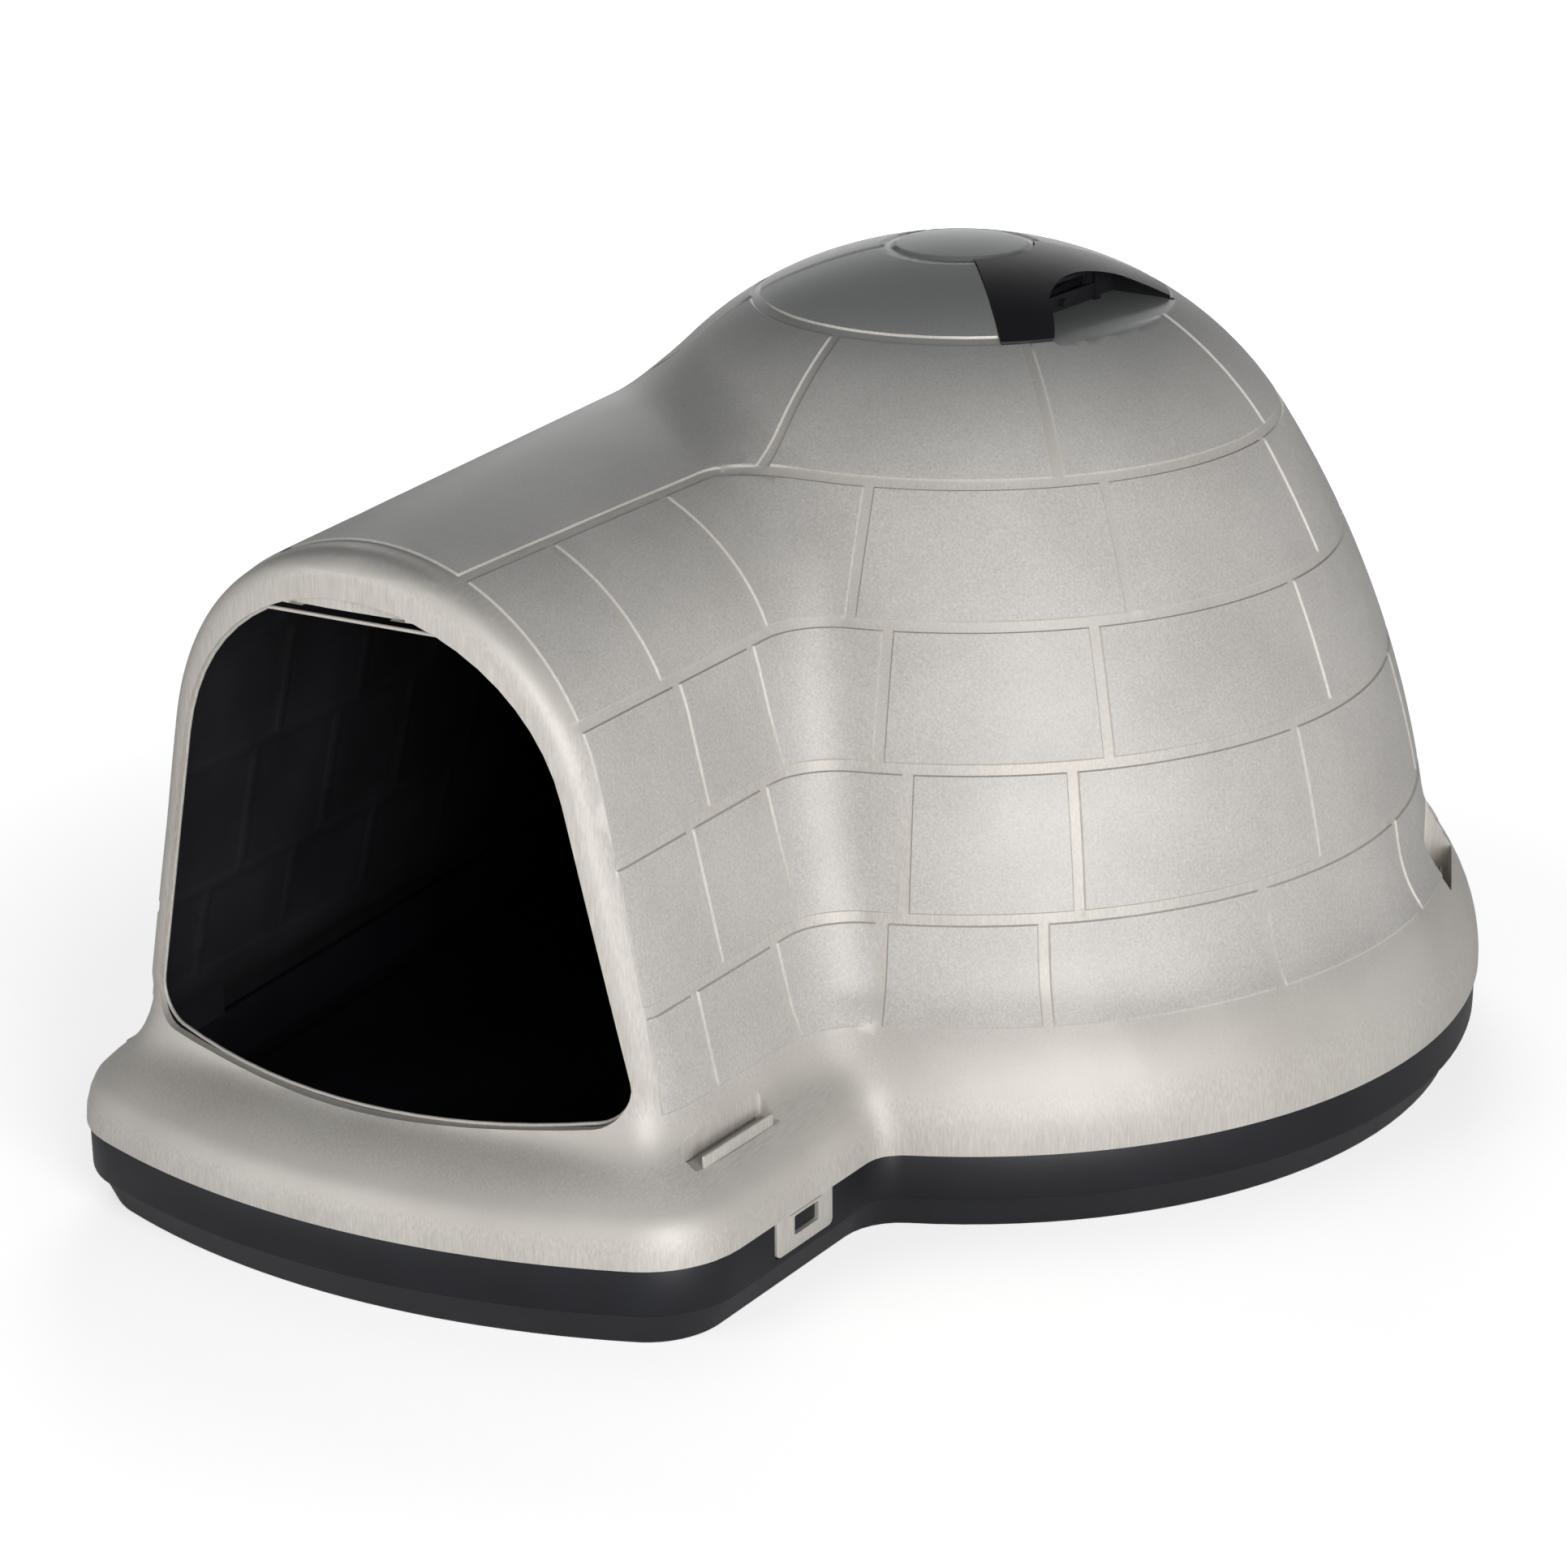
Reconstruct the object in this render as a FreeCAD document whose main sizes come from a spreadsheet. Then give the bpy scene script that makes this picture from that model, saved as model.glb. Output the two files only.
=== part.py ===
"""Igloo-shaped dog house: a moulded upper shell latched onto a base pan, with a vented roof.

Frame: origin at the middle of the floor rectangle that the house covers, +Z up, the doorway
faces -Y, the width runs along X. All sizes are in millimetres.
"""
import FreeCAD, Part
import math
import os
import Sketcher
from FreeCAD import Rotation, Vector

doc = FreeCAD.newDocument("dog_house")

# ---------------------------------------------------------------- driving dimensions
SIZES = {
    # overall form, measured from the dome's axis
    "house_height": 651.0,
    "skirt_radius": 434.0,
    "porch_reach": 696.0,
    "seam_height": 66.0,
    "wall": 6.0,
    # dome profile: three tangent arcs from the apex down, each with the slope where it ends
    "crown_radius": 331.5,
    "crown_end_slope": 22.96,
    "shoulder_radius": 286.2,
    "shoulder_end_slope": 57.51,
    "flank_radius": 854.9,
    "flank_end_slope": 79.91,
    # skirt round the dome and round the porch: how far in and how far up it rolls
    "skirt_bend_radius": 400.0,
    "skirt_bend_height": 158.0,
    "skirt_bend_slope": 52.0,
    "porch_skirt_depth": 62.0,
    "porch_skirt_rise": 62.0,
    # porch plan at the seam
    "porch_offset": -163.0,
    "porch_front_radius": 655.0,
    "porch_corner": 80.0,
    "porch_valley": 30.0,
    "porch_side_reach": 185.3,
    "porch_side_angle": 6.34,
    "porch_front_lean": 1.8,
    "porch_nose_fillet": 16.0,
    "porch_wall_foot": 34.0,
    "valley_fillet": 40.0,
    # porch roof section at its front station and where it dies into the dome
    "front_station": 600.0,
    "front_arch_width": 182.0,
    "front_arch_rise": 197.0,
    "front_arch_height": 343.0,
    "front_wall_lean": 0.215,
    "rear_arch_offset": -175.0,
    "rear_arch_right": 203.0,
    "rear_arch_left": 108.0,
    "rear_arch_rise": 110.0,
    "rear_arch_height": 442.0,
    "rear_wall_lean": 0.33,
    "rear_left_lean": 0.27,
    # doorway
    "door_arch_radius": 162.5,
    "door_arch_height": 346.0,
    "door_jamb_lean": 12.4,
    "door_sill_height": 125.0,
    "door_sill_radius": 1160.0,
    "door_corner": 28.0,
    "door_cut_start": 800.0,
    "door_cut_length": 500.0,
    "lintel_height": 499.5,
    "lintel_recess": 4.0,
    # raised block pattern
    "block_relief": 1.5,
    "joint_width": 9.0,
    "joint_cut_reach": 30.0,
    "block_foot_height": 154.0,
    "porch_block_front": 586.0,
    "ring_height_a": 608.5,
    "ring_height_b": 523.8,
    "ring_height_c": 431.5,
    "ring_height_d": 335.2,
    "ring_height_e": 228.9,
    "crown_disc_radius": 57.5,
    # roof vent
    "vent_azimuth": -8.0,
    "vent_half_angle": 45.5,
    "vent_floor_height": 606.0,
    "vent_back": 88.0,
    "vent_half_width": 86.0,
    "vent_liner": 4.0,
    "vent_window_width": 84.0,
    "vent_window_height": 10.0,
    "vent_window_sill": 618.0,
    "hood_thickness": 3.0,
    "hood_proud": 2.0,
    "hood_outer_radius": 165.0,
    "hood_arch_half_width": 52.0,
    "hood_arch_depth": 40.0,
    "hood_arch_spring": 628.0,
    "hood_arch_crown": 637.0,
    "hood_leg_half_gap": 85.0,
    "frame_width": 112.0,
    "frame_height": 25.0,
    "frame_thickness": 3.0,
    "shutter_width": 100.0,
    "shutter_height": 12.0,
    "shutter_thickness": 2.0,
    "shutter_nub": 5.0,
    "nub_bite": 0.5,
    "shutter_rest": 1.5,
    "runner_lip": 1.5,
    # base pan
    "pan_flange_inset": 2.5,
    "pan_step_height": 28.0,
    "pan_step_depth": 4.0,
    "pan_foot_inset": 19.0,
    "pan_wall": 5.0,
    "pan_floor_height": 46.0,
    "pan_floor_thickness": 5.0,
    "pan_gutter_width": 28.0,
    "pan_gutter_depth": 7.0,
    "pan_rib_spacing": 160.0,
    "pan_rib_thickness": 4.0,
    "spigot_inset": 13.0,
    "spigot_rise": 16.0,
    "seat_clearance": 0.3,
    # latches
    "latch_width": 70.0,
    "latch_drop": 30.0,
    "latch_thickness": 4.0,
    "latch_window_width": 30.0,
    "latch_window_corner": 2.0,
    "latch_window_height": 15.0,
    "latch_bar": 12.0,
    "latch_corner": 5.0,
    "latch_setback": 0.8,
    "latch_pocket_depth": 11.0,
    "latch_clearance": 1.0,
    "front_latch_station": 507.0,
    "rear_latch_azimuth": 30.0,
    # finger notch in the skirt above each latch
    "notch_width": 100.0,
    "notch_forward": 36.0,
    "rear_notch_shift": 83.0,
    "notch_height": 118.0,
    "notch_height_left": 102.0,
    "notch_start": 26.0,
    "notch_start_left": 15.0,
    "notch_depth": 24.0,
    "notch_lining_top": 210.0,
    "notch_cut_top": 225.0,
    "tongue_width": 84.0,
    "tongue_thickness": 2.5,
    "tongue_rise": 9.0,
}

sheet = doc.addObject("Spreadsheet::Sheet", "sizes")
for row, (name, value) in enumerate(SIZES.items(), start=1):
    sheet.set(f"A{row}", name)
    sheet.set(f"B{row}", str(value))
    sheet.setAlias(f"B{row}", name)
doc.recompute()


def size(name):
    """One driving dimension, read from the sheet."""
    return float(sheet.get(name))


DOME_Y = (size("porch_reach") - size("skirt_radius")) / 2
AXIS = Vector(0, DOME_Y, 0)
UP = Vector(0, 0, 1)
# where forms end that are trimmed at the seam later, and a length beyond the whole house
BELOW = -20.0
FAR = 900.0
# how far joined forms run into each other, and how near an edge counts as the same edge
OVERLAP = 1.0
SAME_EDGE = 0.5
# pole distance at which a cubic curve follows a quarter of an ellipse
QUARTER = 0.5523
# azimuths between which the porch hides the dome's courses
PORCH_SPAN = (-165.0, -75.0)

# joints of the block pattern: azimuth of the first joint, how many blocks go round, and the
# extra joint of the short block beside the porch
COURSES = [
    ("ring_height_a", "ring_height_b", -98.5, 7, None),
    ("ring_height_b", "ring_height_c", -39.3, 9, -79.1),
    ("ring_height_c", "ring_height_d", -45.2, 10, -73.6),
    ("ring_height_d", "ring_height_e", -50.0, 11, -69.9),
    ("ring_height_e", "block_foot_height", -54.2, 13, -72.2),
]
# the porch walls' joints in each course: first station in front of the dome's axis, and spacing
PORCH_COURSES = [
    ("ring_height_b", "ring_height_c", 489.0, 139.0),
    ("ring_height_c", "ring_height_d", 471.0, 97.0),
    ("ring_height_d", "ring_height_e", 496.0, 97.0),
    ("ring_height_e", "block_foot_height", 532.0, 102.0),
]
CROWN_JOINTS = [-152.0, 136.0]


def direction(azimuth):
    """Horizontal unit vector at an azimuth in degrees from +X."""
    angle = math.radians(azimuth)
    return Vector(math.cos(angle), math.sin(angle), 0)


# ---------------------------------------------------------------- the plan at the seam
class Plan:
    """Keyhole outline of the seam: the dome's circle, the valley, the porch side, corner,
    front and other corner. Every inset outline shares its arcs' centres."""

    def __init__(self):
        self.radius = size("skirt_radius")
        self.valley = size("porch_valley")
        self.corner = size("porch_corner")
        self.front = size("porch_front_radius")
        lean = size("porch_side_angle")
        self.out = direction(-lean)
        self.along = direction(90 - lean)
        reach = size("porch_side_reach")
        valley_out = reach + self.valley
        valley_back = math.sqrt((self.radius + self.valley) ** 2 - valley_out ** 2)
        self.valley_centre = AXIS + self.out * valley_out - self.along * valley_back
        self.front_centre = AXIS + Vector(size("porch_offset"), self.front - size("porch_reach"), 0)
        inner = self.front - self.corner
        side = reach - self.corner - (self.front_centre - AXIS).dot(self.out)
        drop = math.sqrt(inner ** 2 - side ** 2)
        self.right_centre = self.front_centre + self.out * side - self.along * drop
        left_x = self.corner - self.radius
        left_drop = math.sqrt(inner ** 2 - (left_x - self.front_centre.x) ** 2)
        self.left_centre = Vector(left_x, self.front_centre.y - left_drop, 0)

    def corners(self, inset):
        """The outline's seven junction points at an inset, from the dome's left tangent
        clockwise past the back."""
        to_valley = (self.valley_centre - AXIS).normalize()
        to_right = (self.right_centre - self.front_centre).normalize()
        to_left = (self.left_centre - self.front_centre).normalize()
        return [
            AXIS - Vector(self.radius - inset, 0, 0),
            AXIS + to_valley * (self.radius - inset),
            self.valley_centre - self.out * (self.valley + inset),
            self.right_centre + self.out * (self.corner - inset),
            self.front_centre + to_right * (self.front - inset),
            self.front_centre + to_left * (self.front - inset),
            self.left_centre - Vector(self.corner - inset, 0, 0),
        ]

    def outline(self, inset, height):
        """Closed wire of the keyhole, inset from the seam, at a height."""
        lift = Vector(0, 0, height)
        left, neck, valley_end, side_end, front_right, front_left, left_end = self.corners(inset)
        back = AXIS + Vector(0, self.radius - inset, 0)
        valley_mid = between(self.valley_centre, neck, valley_end, self.valley + inset)
        right_mid = between(self.right_centre, side_end, front_right, self.corner - inset)
        front_mid = between(self.front_centre, front_right, front_left, self.front - inset)
        left_mid = between(self.left_centre, front_left, left_end, self.corner - inset)
        edges = [
            arc(left + lift, back + lift, neck + lift),
            arc(neck + lift, valley_mid + lift, valley_end + lift),
            Part.makeLine(valley_end + lift, side_end + lift),
            arc(side_end + lift, right_mid + lift, front_right + lift),
            arc(front_right + lift, front_mid + lift, front_left + lift),
            arc(front_left + lift, left_mid + lift, left_end + lift),
            Part.makeLine(left_end + lift, left + lift),
        ]
        return Part.Wire(edges)

    def prism(self, inset, low, high):
        """Solid of the inset outline between two heights."""
        face = Part.Face(self.outline(inset, low))
        return face.extrude(UP * (high - low))


def arc(start, middle, end):
    """Circular edge through three points."""
    return Part.Arc(start, middle, end).toShape()


def between(centre, start, end, radius):
    """Middle of the short arc from start to end about a centre."""
    return centre + ((start - centre) + (end - centre)).normalize() * radius


PLAN = Plan()


# ---------------------------------------------------------------- forms of the moulding
def dome_arcs(offset):
    """Edges of the dome's profile in the XZ plane, moved inward by offset, and their end."""
    edges = []
    slope = 0.0
    point = Vector(0, 0, size("house_height"))
    for name in ("crown", "shoulder", "flank"):
        radius = size(name + "_radius")
        end_slope = size(name + "_end_slope")
        centre = point - slope_normal(slope) * radius
        slopes = (slope, (slope + end_slope) / 2, end_slope)
        edges.append(arc(*[centre + slope_normal(a) * (radius - offset) for a in slopes]))
        point = centre + slope_normal(end_slope) * radius
        slope = end_slope
    return edges, edges[-1].valueAt(edges[-1].LastParameter)


def slope_normal(slope):
    """Outward normal of the dome where its profile falls at a slope in degrees."""
    angle = math.radians(slope)
    return Vector(math.sin(angle), 0, math.cos(angle))


def bend(start, start_slope, end, end_slope):
    """Curve between two points whose slopes are given, shaped by where their tangents meet."""
    first = slope_normal(start_slope).cross(UP.cross(Vector(1, 0, 0)))
    second = slope_normal(end_slope).cross(UP.cross(Vector(1, 0, 0)))
    span = end - start
    reach = (span.x * second.z - span.z * second.x) / (first.x * second.z - first.z * second.x)
    curve = Part.BezierCurve()
    curve.setPoles([start, start + first * reach, end])
    return curve.toShape()


def dome(offset, low):
    """Solid of revolution of the dome and its skirt, moved inward by offset."""
    edges, top = dome_arcs(offset)
    top_slope, bend_slope = size("flank_end_slope"), size("skirt_bend_slope")
    turn_point = Vector(size("skirt_bend_radius"), 0, size("skirt_bend_height"))
    turn_point -= slope_normal(bend_slope) * offset
    seam = Vector(size("skirt_radius") - offset, 0, size("seam_height"))
    apex = Vector(0, 0, size("house_height") - offset)
    edges += [
        bend(top, top_slope, turn_point, bend_slope),
        bend(turn_point, bend_slope, seam, 90),
        Part.makeLine(seam, Vector(seam.x, 0, low)),
        Part.makeLine(Vector(seam.x, 0, low), Vector(0, 0, low)),
        Part.makeLine(Vector(0, 0, low), apex),
    ]
    face = Part.Face(Part.Wire(edges))
    solid = face.revolve(Vector(0, 0, 0), UP, 360)
    solid.translate(AXIS)
    return solid


def skirt_face(depth, rise, offset, core, low):
    """Section of the skirt's roll: x runs inward from the seam outline, z up."""
    foot = Vector(offset, 0, size("seam_height"))
    top = Vector(depth, 0, size("seam_height") + rise - offset)
    roll = Part.BezierCurve()
    roll.setPoles([
        foot,
        foot + UP * (top.z - foot.z) * QUARTER,
        top - Vector((top.x - foot.x) * QUARTER, 0, 0),
        top,
    ])
    points = [top, Vector(core, 0, top.z), Vector(core, 0, low), Vector(offset, 0, low), foot]
    lines = [Part.makeLine(a, b) for a, b in zip(points, points[1:]) if a.distanceToPoint(b) > 1e-6]
    return Part.Face(Part.Wire([roll.toShape()] + lines))


def placed_section(face, seam_point, inward):
    """The skirt's section standing on a point of the seam outline."""
    turned = face.copy()
    turned.rotate(Vector(0, 0, 0), UP, math.degrees(math.atan2(inward.y, inward.x)))
    turned.translate(seam_point)
    return turned


def swept(face, seam_point, centre, sweep, inward):
    """The skirt's section turned about a corner's centre."""
    section = placed_section(face, seam_point, inward)
    return section.revolve(centre, UP, sweep)


def turn(centre, start, end):
    """Signed angle in degrees from start to end about a centre, the short way."""
    a = start - centre
    b = end - centre
    return math.degrees(math.atan2(a.x * b.y - a.y * b.x, a.x * b.x + a.y * b.y))


def porch_skirt(offset, low):
    """The lower roll round the porch: side, corner, front, corner and side."""
    core = size("porch_skirt_depth") + size("wall")
    face = skirt_face(size("porch_skirt_depth"), size("porch_skirt_rise"), offset, core, low)
    left, valley_end, side_end, front_right, front_left, left_end = PLAN.corners(0)[:1] + PLAN.corners(0)[2:]
    side_inward = -PLAN.out
    side_start = valley_end + PLAN.along * size("porch_valley") * 2
    right_turn = turn(PLAN.right_centre, side_end, front_right)
    front_turn = turn(PLAN.front_centre, front_right, front_left)
    left_turn = turn(PLAN.left_centre, front_left, left_end)
    pieces = [
        placed_section(face, side_start, side_inward).extrude(side_end - side_start),
        swept(face, side_end, PLAN.right_centre, right_turn, side_inward),
        swept(face, front_right, PLAN.front_centre, front_turn,
              (PLAN.front_centre - front_right).normalize()),
        swept(face, front_left, PLAN.left_centre, left_turn, (PLAN.left_centre - front_left).normalize()),
        placed_section(face, left_end, Vector(1, 0, 0)).extrude(left - left_end),
    ]
    top = size("seam_height") + size("porch_skirt_rise") - offset
    pieces.append(PLAN.prism(core - OVERLAP, low, top))
    return pieces[0].multiFuse(pieces[1:]).removeSplitter()


def valley_fill(offset, low):
    """Rounded corner between the dome and the porch side, up to the porch skirt's top."""
    core = size("porch_skirt_depth") + size("wall")
    face = skirt_face(size("porch_skirt_depth"), size("porch_skirt_rise"), offset, core, low)
    neck, valley_end = PLAN.corners(0)[1:3]
    inward = (neck - PLAN.valley_centre).normalize()
    return swept(face, neck, PLAN.valley_centre, turn(PLAN.valley_centre, neck, valley_end), inward)


def arch_half(centre, width, rise, spring, lean, side, station, foot):
    """One half of a porch section: leaning wall and elliptical quarter up to the ridge."""
    tangent = math.atan(lean * rise / width)
    steps = 6
    points = []
    for step in range(steps + 1):
        angle = tangent + (math.pi / 2 - tangent) * step / steps
        x = centre + side * width * math.cos(angle)
        points.append(Vector(x, station, spring + rise * math.sin(angle)))
    curve = Part.BSplineCurve()
    start_slope = Vector(-side * lean, 0, 1)
    curve.interpolate(points, InitialTangent=start_slope, FinalTangent=Vector(-side, 0, 0))
    wall_foot = Vector(points[0].x + side * lean * (points[0].z - foot), station, foot)
    return Part.makeLine(wall_foot, points[0]), curve.toShape(), wall_foot


def porch_section(front, offset, foot):
    """Closed porch section at the front station or at the dome's axis, moved in by offset."""
    if front:
        station = DOME_Y - size("front_station")
        centre = size("porch_offset")
        right = left = size("front_arch_width")
        rise, spring, lean = size("front_arch_rise"), size("front_arch_height"), size("front_wall_lean")
    else:
        station = DOME_Y
        centre = size("rear_arch_offset")
        right, left = size("rear_arch_right"), size("rear_arch_left")
        rise, spring, lean = size("rear_arch_rise"), size("rear_arch_height"), size("rear_wall_lean")
    left_lean = lean if front else size("rear_left_lean")
    halves = [
        arch_half(centre, width - offset, rise - offset, spring, wall_lean, side, station, foot)
        for width, wall_lean, side in ((right, lean, 1), (left, left_lean, -1))
    ]
    (right_wall, right_arch, right_foot), (left_wall, left_arch, left_foot) = halves
    sill = Part.makeLine(left_foot, right_foot)
    return Part.Wire([sill, right_wall, right_arch, left_arch, left_wall])


def porch(offset):
    """The porch's tunnel: ruled between its two sections and cut off by the bowed front."""
    foot = size("seam_height") + size("porch_wall_foot")
    rear = porch_section(False, offset, foot)
    front = porch_section(True, offset, foot)
    body = Part.makeLoft([rear, front], True, True)
    nose = Part.Face(front).extrude(Vector(0, size("front_station") - size("porch_reach"), 0))
    body = body.fuse(nose).removeSplitter()
    radius = size("porch_front_radius") - size("porch_skirt_depth") - offset
    cutter = Part.makeCylinder(radius, FAR, Vector(0, 0, -FAR / 2), UP)
    cutter.rotate(Vector(0, -radius, 0), Vector(1, 0, 0), -size("porch_front_lean"))
    cutter.translate(PLAN.front_centre + Vector(0, 0, size("seam_height") + size("porch_skirt_rise")))
    return body.common(cutter)


def middle(edge):
    """Point halfway along an edge."""
    return edge.valueAt((edge.FirstParameter + edge.LastParameter) / 2)


def upper_form(offset):
    """Dome and porch as one solid, moved inward by offset, with their rounded valley and nose."""
    round_dome = dome(offset, BELOW)
    tunnel = porch(offset)
    united = round_dome.fuse(tunnel).removeSplitter()
    old_edges = Part.Compound(round_dome.Edges + tunnel.Edges)
    valley = [
        edge for edge in united.Edges
        if Part.Vertex(middle(edge)).distToShape(old_edges)[0] > SAME_EDGE
        and middle(edge).x > size("porch_offset")
    ]
    united = united.makeFillet(size("valley_fillet") + offset, valley)
    front_y = DOME_Y - size("front_station")
    nose = [
        edge for edge in united.Edges
        if middle(edge).y < front_y and edge.BoundBox.ZLength > size("porch_nose_fillet")
        and len([f for f in united.ancestorsOfType(edge, Part.Face) if is_front(f)]) == 1
    ]
    return united.makeFillet(size("porch_nose_fillet") - offset, nose)


def is_front(face):
    """True for the porch's bowed front face."""
    round_face = face.Surface.TypeId == "Part::GeomCylinder"
    return round_face and face.Surface.Radius > size("porch_front_radius") / 2


def skirt_forms(offset):
    """The porch's skirt and its rounded corner with the dome, moved inward by offset."""
    return [porch_skirt(offset, BELOW), valley_fill(offset, BELOW)]


# ---------------------------------------------------------------- seats round the seam
class Seat:
    """A place on the seam outline: x runs inward from it, y along the seam, z up."""

    def __init__(self, point, inward):
        self.point = point
        self.angle = math.degrees(math.atan2(inward.y, inward.x))

    def box(self, depth, width, height):
        """Box over ranges of depth inward, width along the seam and height."""
        shape = Part.makeBox(depth[1] - depth[0], width[1] - width[0], height[1] - height[0])
        shape.translate(Vector(depth[0], width[0], height[0]))
        shape.rotate(Vector(0, 0, 0), UP, self.angle)
        shape.translate(self.point)
        return shape


def side_seat(station):
    """Seat on the porch's right-hand side, a distance in front of the dome's axis."""
    reach = size("porch_side_reach")
    along = (station + PLAN.out.y * reach) / PLAN.along.y
    return Seat(AXIS + PLAN.out * reach - PLAN.along * along, -PLAN.out)


def left_seat(station):
    """Seat on the straight left-hand side, a distance in front of the dome's axis."""
    return Seat(AXIS - Vector(PLAN.radius, station, 0), Vector(1, 0, 0))


def dome_seat(azimuth):
    """Seat on the dome's part of the seam."""
    return Seat(AXIS + direction(azimuth) * PLAN.radius, -direction(azimuth))


REAR_NOTCH = size("rear_latch_azimuth") - math.degrees(size("rear_notch_shift") / PLAN.radius)
SEATS = {
    "front_right": side_seat(size("front_latch_station")),
    "front_left": left_seat(size("front_latch_station")),
    "rear_right": dome_seat(size("rear_latch_azimuth")),
    "rear_left": dome_seat(180 - size("rear_latch_azimuth")),
}
NOTCH_STATION = size("front_latch_station") + size("notch_forward")
NOTCHES = [
    (side_seat(NOTCH_STATION), size("notch_start"), size("notch_height")),
    (left_seat(NOTCH_STATION), size("notch_start_left"), size("notch_height_left")),
    (dome_seat(REAR_NOTCH), size("notch_start"), size("notch_height")),
    (dome_seat(180 - REAR_NOTCH), size("notch_start"), size("notch_height")),
]


# ---------------------------------------------------------------- upper shell
def slope_at(height):
    """How steeply the dome falls at a height, as the sine of its slope."""
    for edge in dome_arcs(0)[0]:
        if edge.BoundBox.ZMin <= height <= edge.BoundBox.ZMax:
            curve = edge.Curve
            lift = (height - curve.Center.z) / curve.Radius
            return math.sqrt(1 - lift ** 2)
    return 1.0


def ring_radius(height):
    """Radius of the dome at a height."""
    edges, end = dome_arcs(0)
    for edge in edges:
        if edge.BoundBox.ZMin <= height <= edge.BoundBox.ZMax:
            curve = edge.Curve
            return curve.Center.x + math.sqrt(curve.Radius ** 2 - (height - curve.Center.z) ** 2)
    return end.x


def radial_plate(azimuth, inner, outer, low, high):
    """Upright plate as thick as a joint, on a radius of the dome."""
    half = size("joint_width") / 2
    shape = Part.makeBox(outer - inner, 2 * half, high - low)
    shape.translate(Vector(inner, -half, low))
    shape.rotate(Vector(0, 0, 0), UP, azimuth)
    shape.translate(AXIS)
    return shape


def course_azimuths(first, count, extra, meets_porch):
    """Azimuths of a course's joints, leaving out those inside the porch."""
    azimuths = [first + 360 / count * index for index in range(count)]
    turned = [(azimuth + 180) % 360 - 180 for azimuth in azimuths]
    if not meets_porch:
        return turned
    return [a for a in turned if not PORCH_SPAN[0] < a < PORCH_SPAN[1]] + [extra]


def block_grooves():
    """Solids of the sunk joints between the raised blocks."""
    half = size("joint_width") / 2
    reach = size("joint_cut_reach")
    grooves = []
    for name in ("a", "b", "c", "d", "e"):
        height = size("ring_height_" + name)
        thick = half * slope_at(height)
        slab = Part.makeBox(3 * FAR, 3 * FAR, 2 * thick)
        slab.translate(Vector(-1.5 * FAR, -1.5 * FAR, height - thick))
        grooves.append(slab)
    for upper, lower, first, count, extra in COURSES:
        high, low = size(upper), size(lower)
        inner, outer = ring_radius(high) - reach, ring_radius(low) + reach
        for azimuth in course_azimuths(first, count, extra, upper != "ring_height_a"):
            grooves.append(radial_plate(azimuth, inner, outer, low, high))
    for upper, lower, first, spacing in PORCH_COURSES:
        high, low = size(upper), size(lower)
        stations = [first - spacing * index for index in range(int(first // spacing) + 1)]
        for index, station in enumerate(stations):
            sides = [(-FAR, size("porch_offset"))]
            if index < 2:
                sides.append((size("porch_offset"), FAR))
            for left, right in sides:
                plate = Part.makeBox(right - left, 2 * half, high - low)
                plate.translate(Vector(left, DOME_Y - station - half, low))
                grooves.append(plate)
    disc, ring = size("crown_disc_radius"), size("ring_height_a")
    annulus = Part.makeCylinder(disc + half, FAR).cut(Part.makeCylinder(disc - half, FAR))
    annulus.translate(AXIS + UP * ring)
    grooves.append(annulus)
    for azimuth in CROWN_JOINTS:
        grooves.append(radial_plate(azimuth, disc, ring_radius(ring) + reach, ring, FAR))
    return grooves


def raised_blocks():
    """The layer of blocks that stands proud of the dome and the porch."""
    form = upper_form(-size("block_relief"))
    zone = Part.makeBox(2 * FAR, 2 * FAR, FAR)
    zone.translate(Vector(-FAR, DOME_Y - size("porch_block_front"), size("block_foot_height")))
    return form.common(zone).cut(Part.Compound(block_grooves()))


def doorway():
    """Prism of the door opening, as high as its arch."""
    radius, spring = size("door_arch_radius"), size("door_arch_height")
    lean = math.radians(size("door_jamb_lean"))
    sill_radius, sill = size("door_sill_radius"), size("door_sill_height")
    tangent = Vector(radius * math.cos(lean), 0, spring + radius * math.sin(lean))
    foot = Vector(tangent.x + (tangent.z - sill) * math.tan(lean), 0, sill)
    foot.z = sill + sill_radius - math.sqrt(sill_radius ** 2 - foot.x ** 2)
    foot.x = tangent.x + (tangent.z - foot.z) * math.tan(lean)
    mirrored = [Vector(-point.x, 0, point.z) for point in (tangent, foot)]
    edges = [
        arc(mirrored[0], Vector(0, 0, spring + radius), tangent),
        Part.makeLine(tangent, foot),
        arc(foot, Vector(0, 0, sill), mirrored[1]),
        Part.makeLine(mirrored[1], mirrored[0]),
    ]
    length = size("door_cut_length")
    prism = Part.Face(Part.Wire(edges)).extrude(Vector(0, length, 0))
    corners = [
        edge for edge in prism.Edges
        if edge.BoundBox.YLength > length / 2 and edge.BoundBox.ZMax < spring - radius
    ]
    prism = prism.makeFillet(size("door_corner"), corners)
    prism.translate(Vector(size("porch_offset"), DOME_Y - size("door_cut_start"), 0))
    return prism


def vent_box(out, half_width, height):
    """Box in the vent's own frame: a range outward from the dome's axis, and of height."""
    shape = Part.makeBox(out[1] - out[0], 2 * half_width, height[1] - height[0])
    shape.translate(Vector(out[0], -half_width, height[0]))
    shape.rotate(Vector(0, 0, 0), UP, size("vent_azimuth"))
    shape.translate(AXIS)
    return shape


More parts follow.
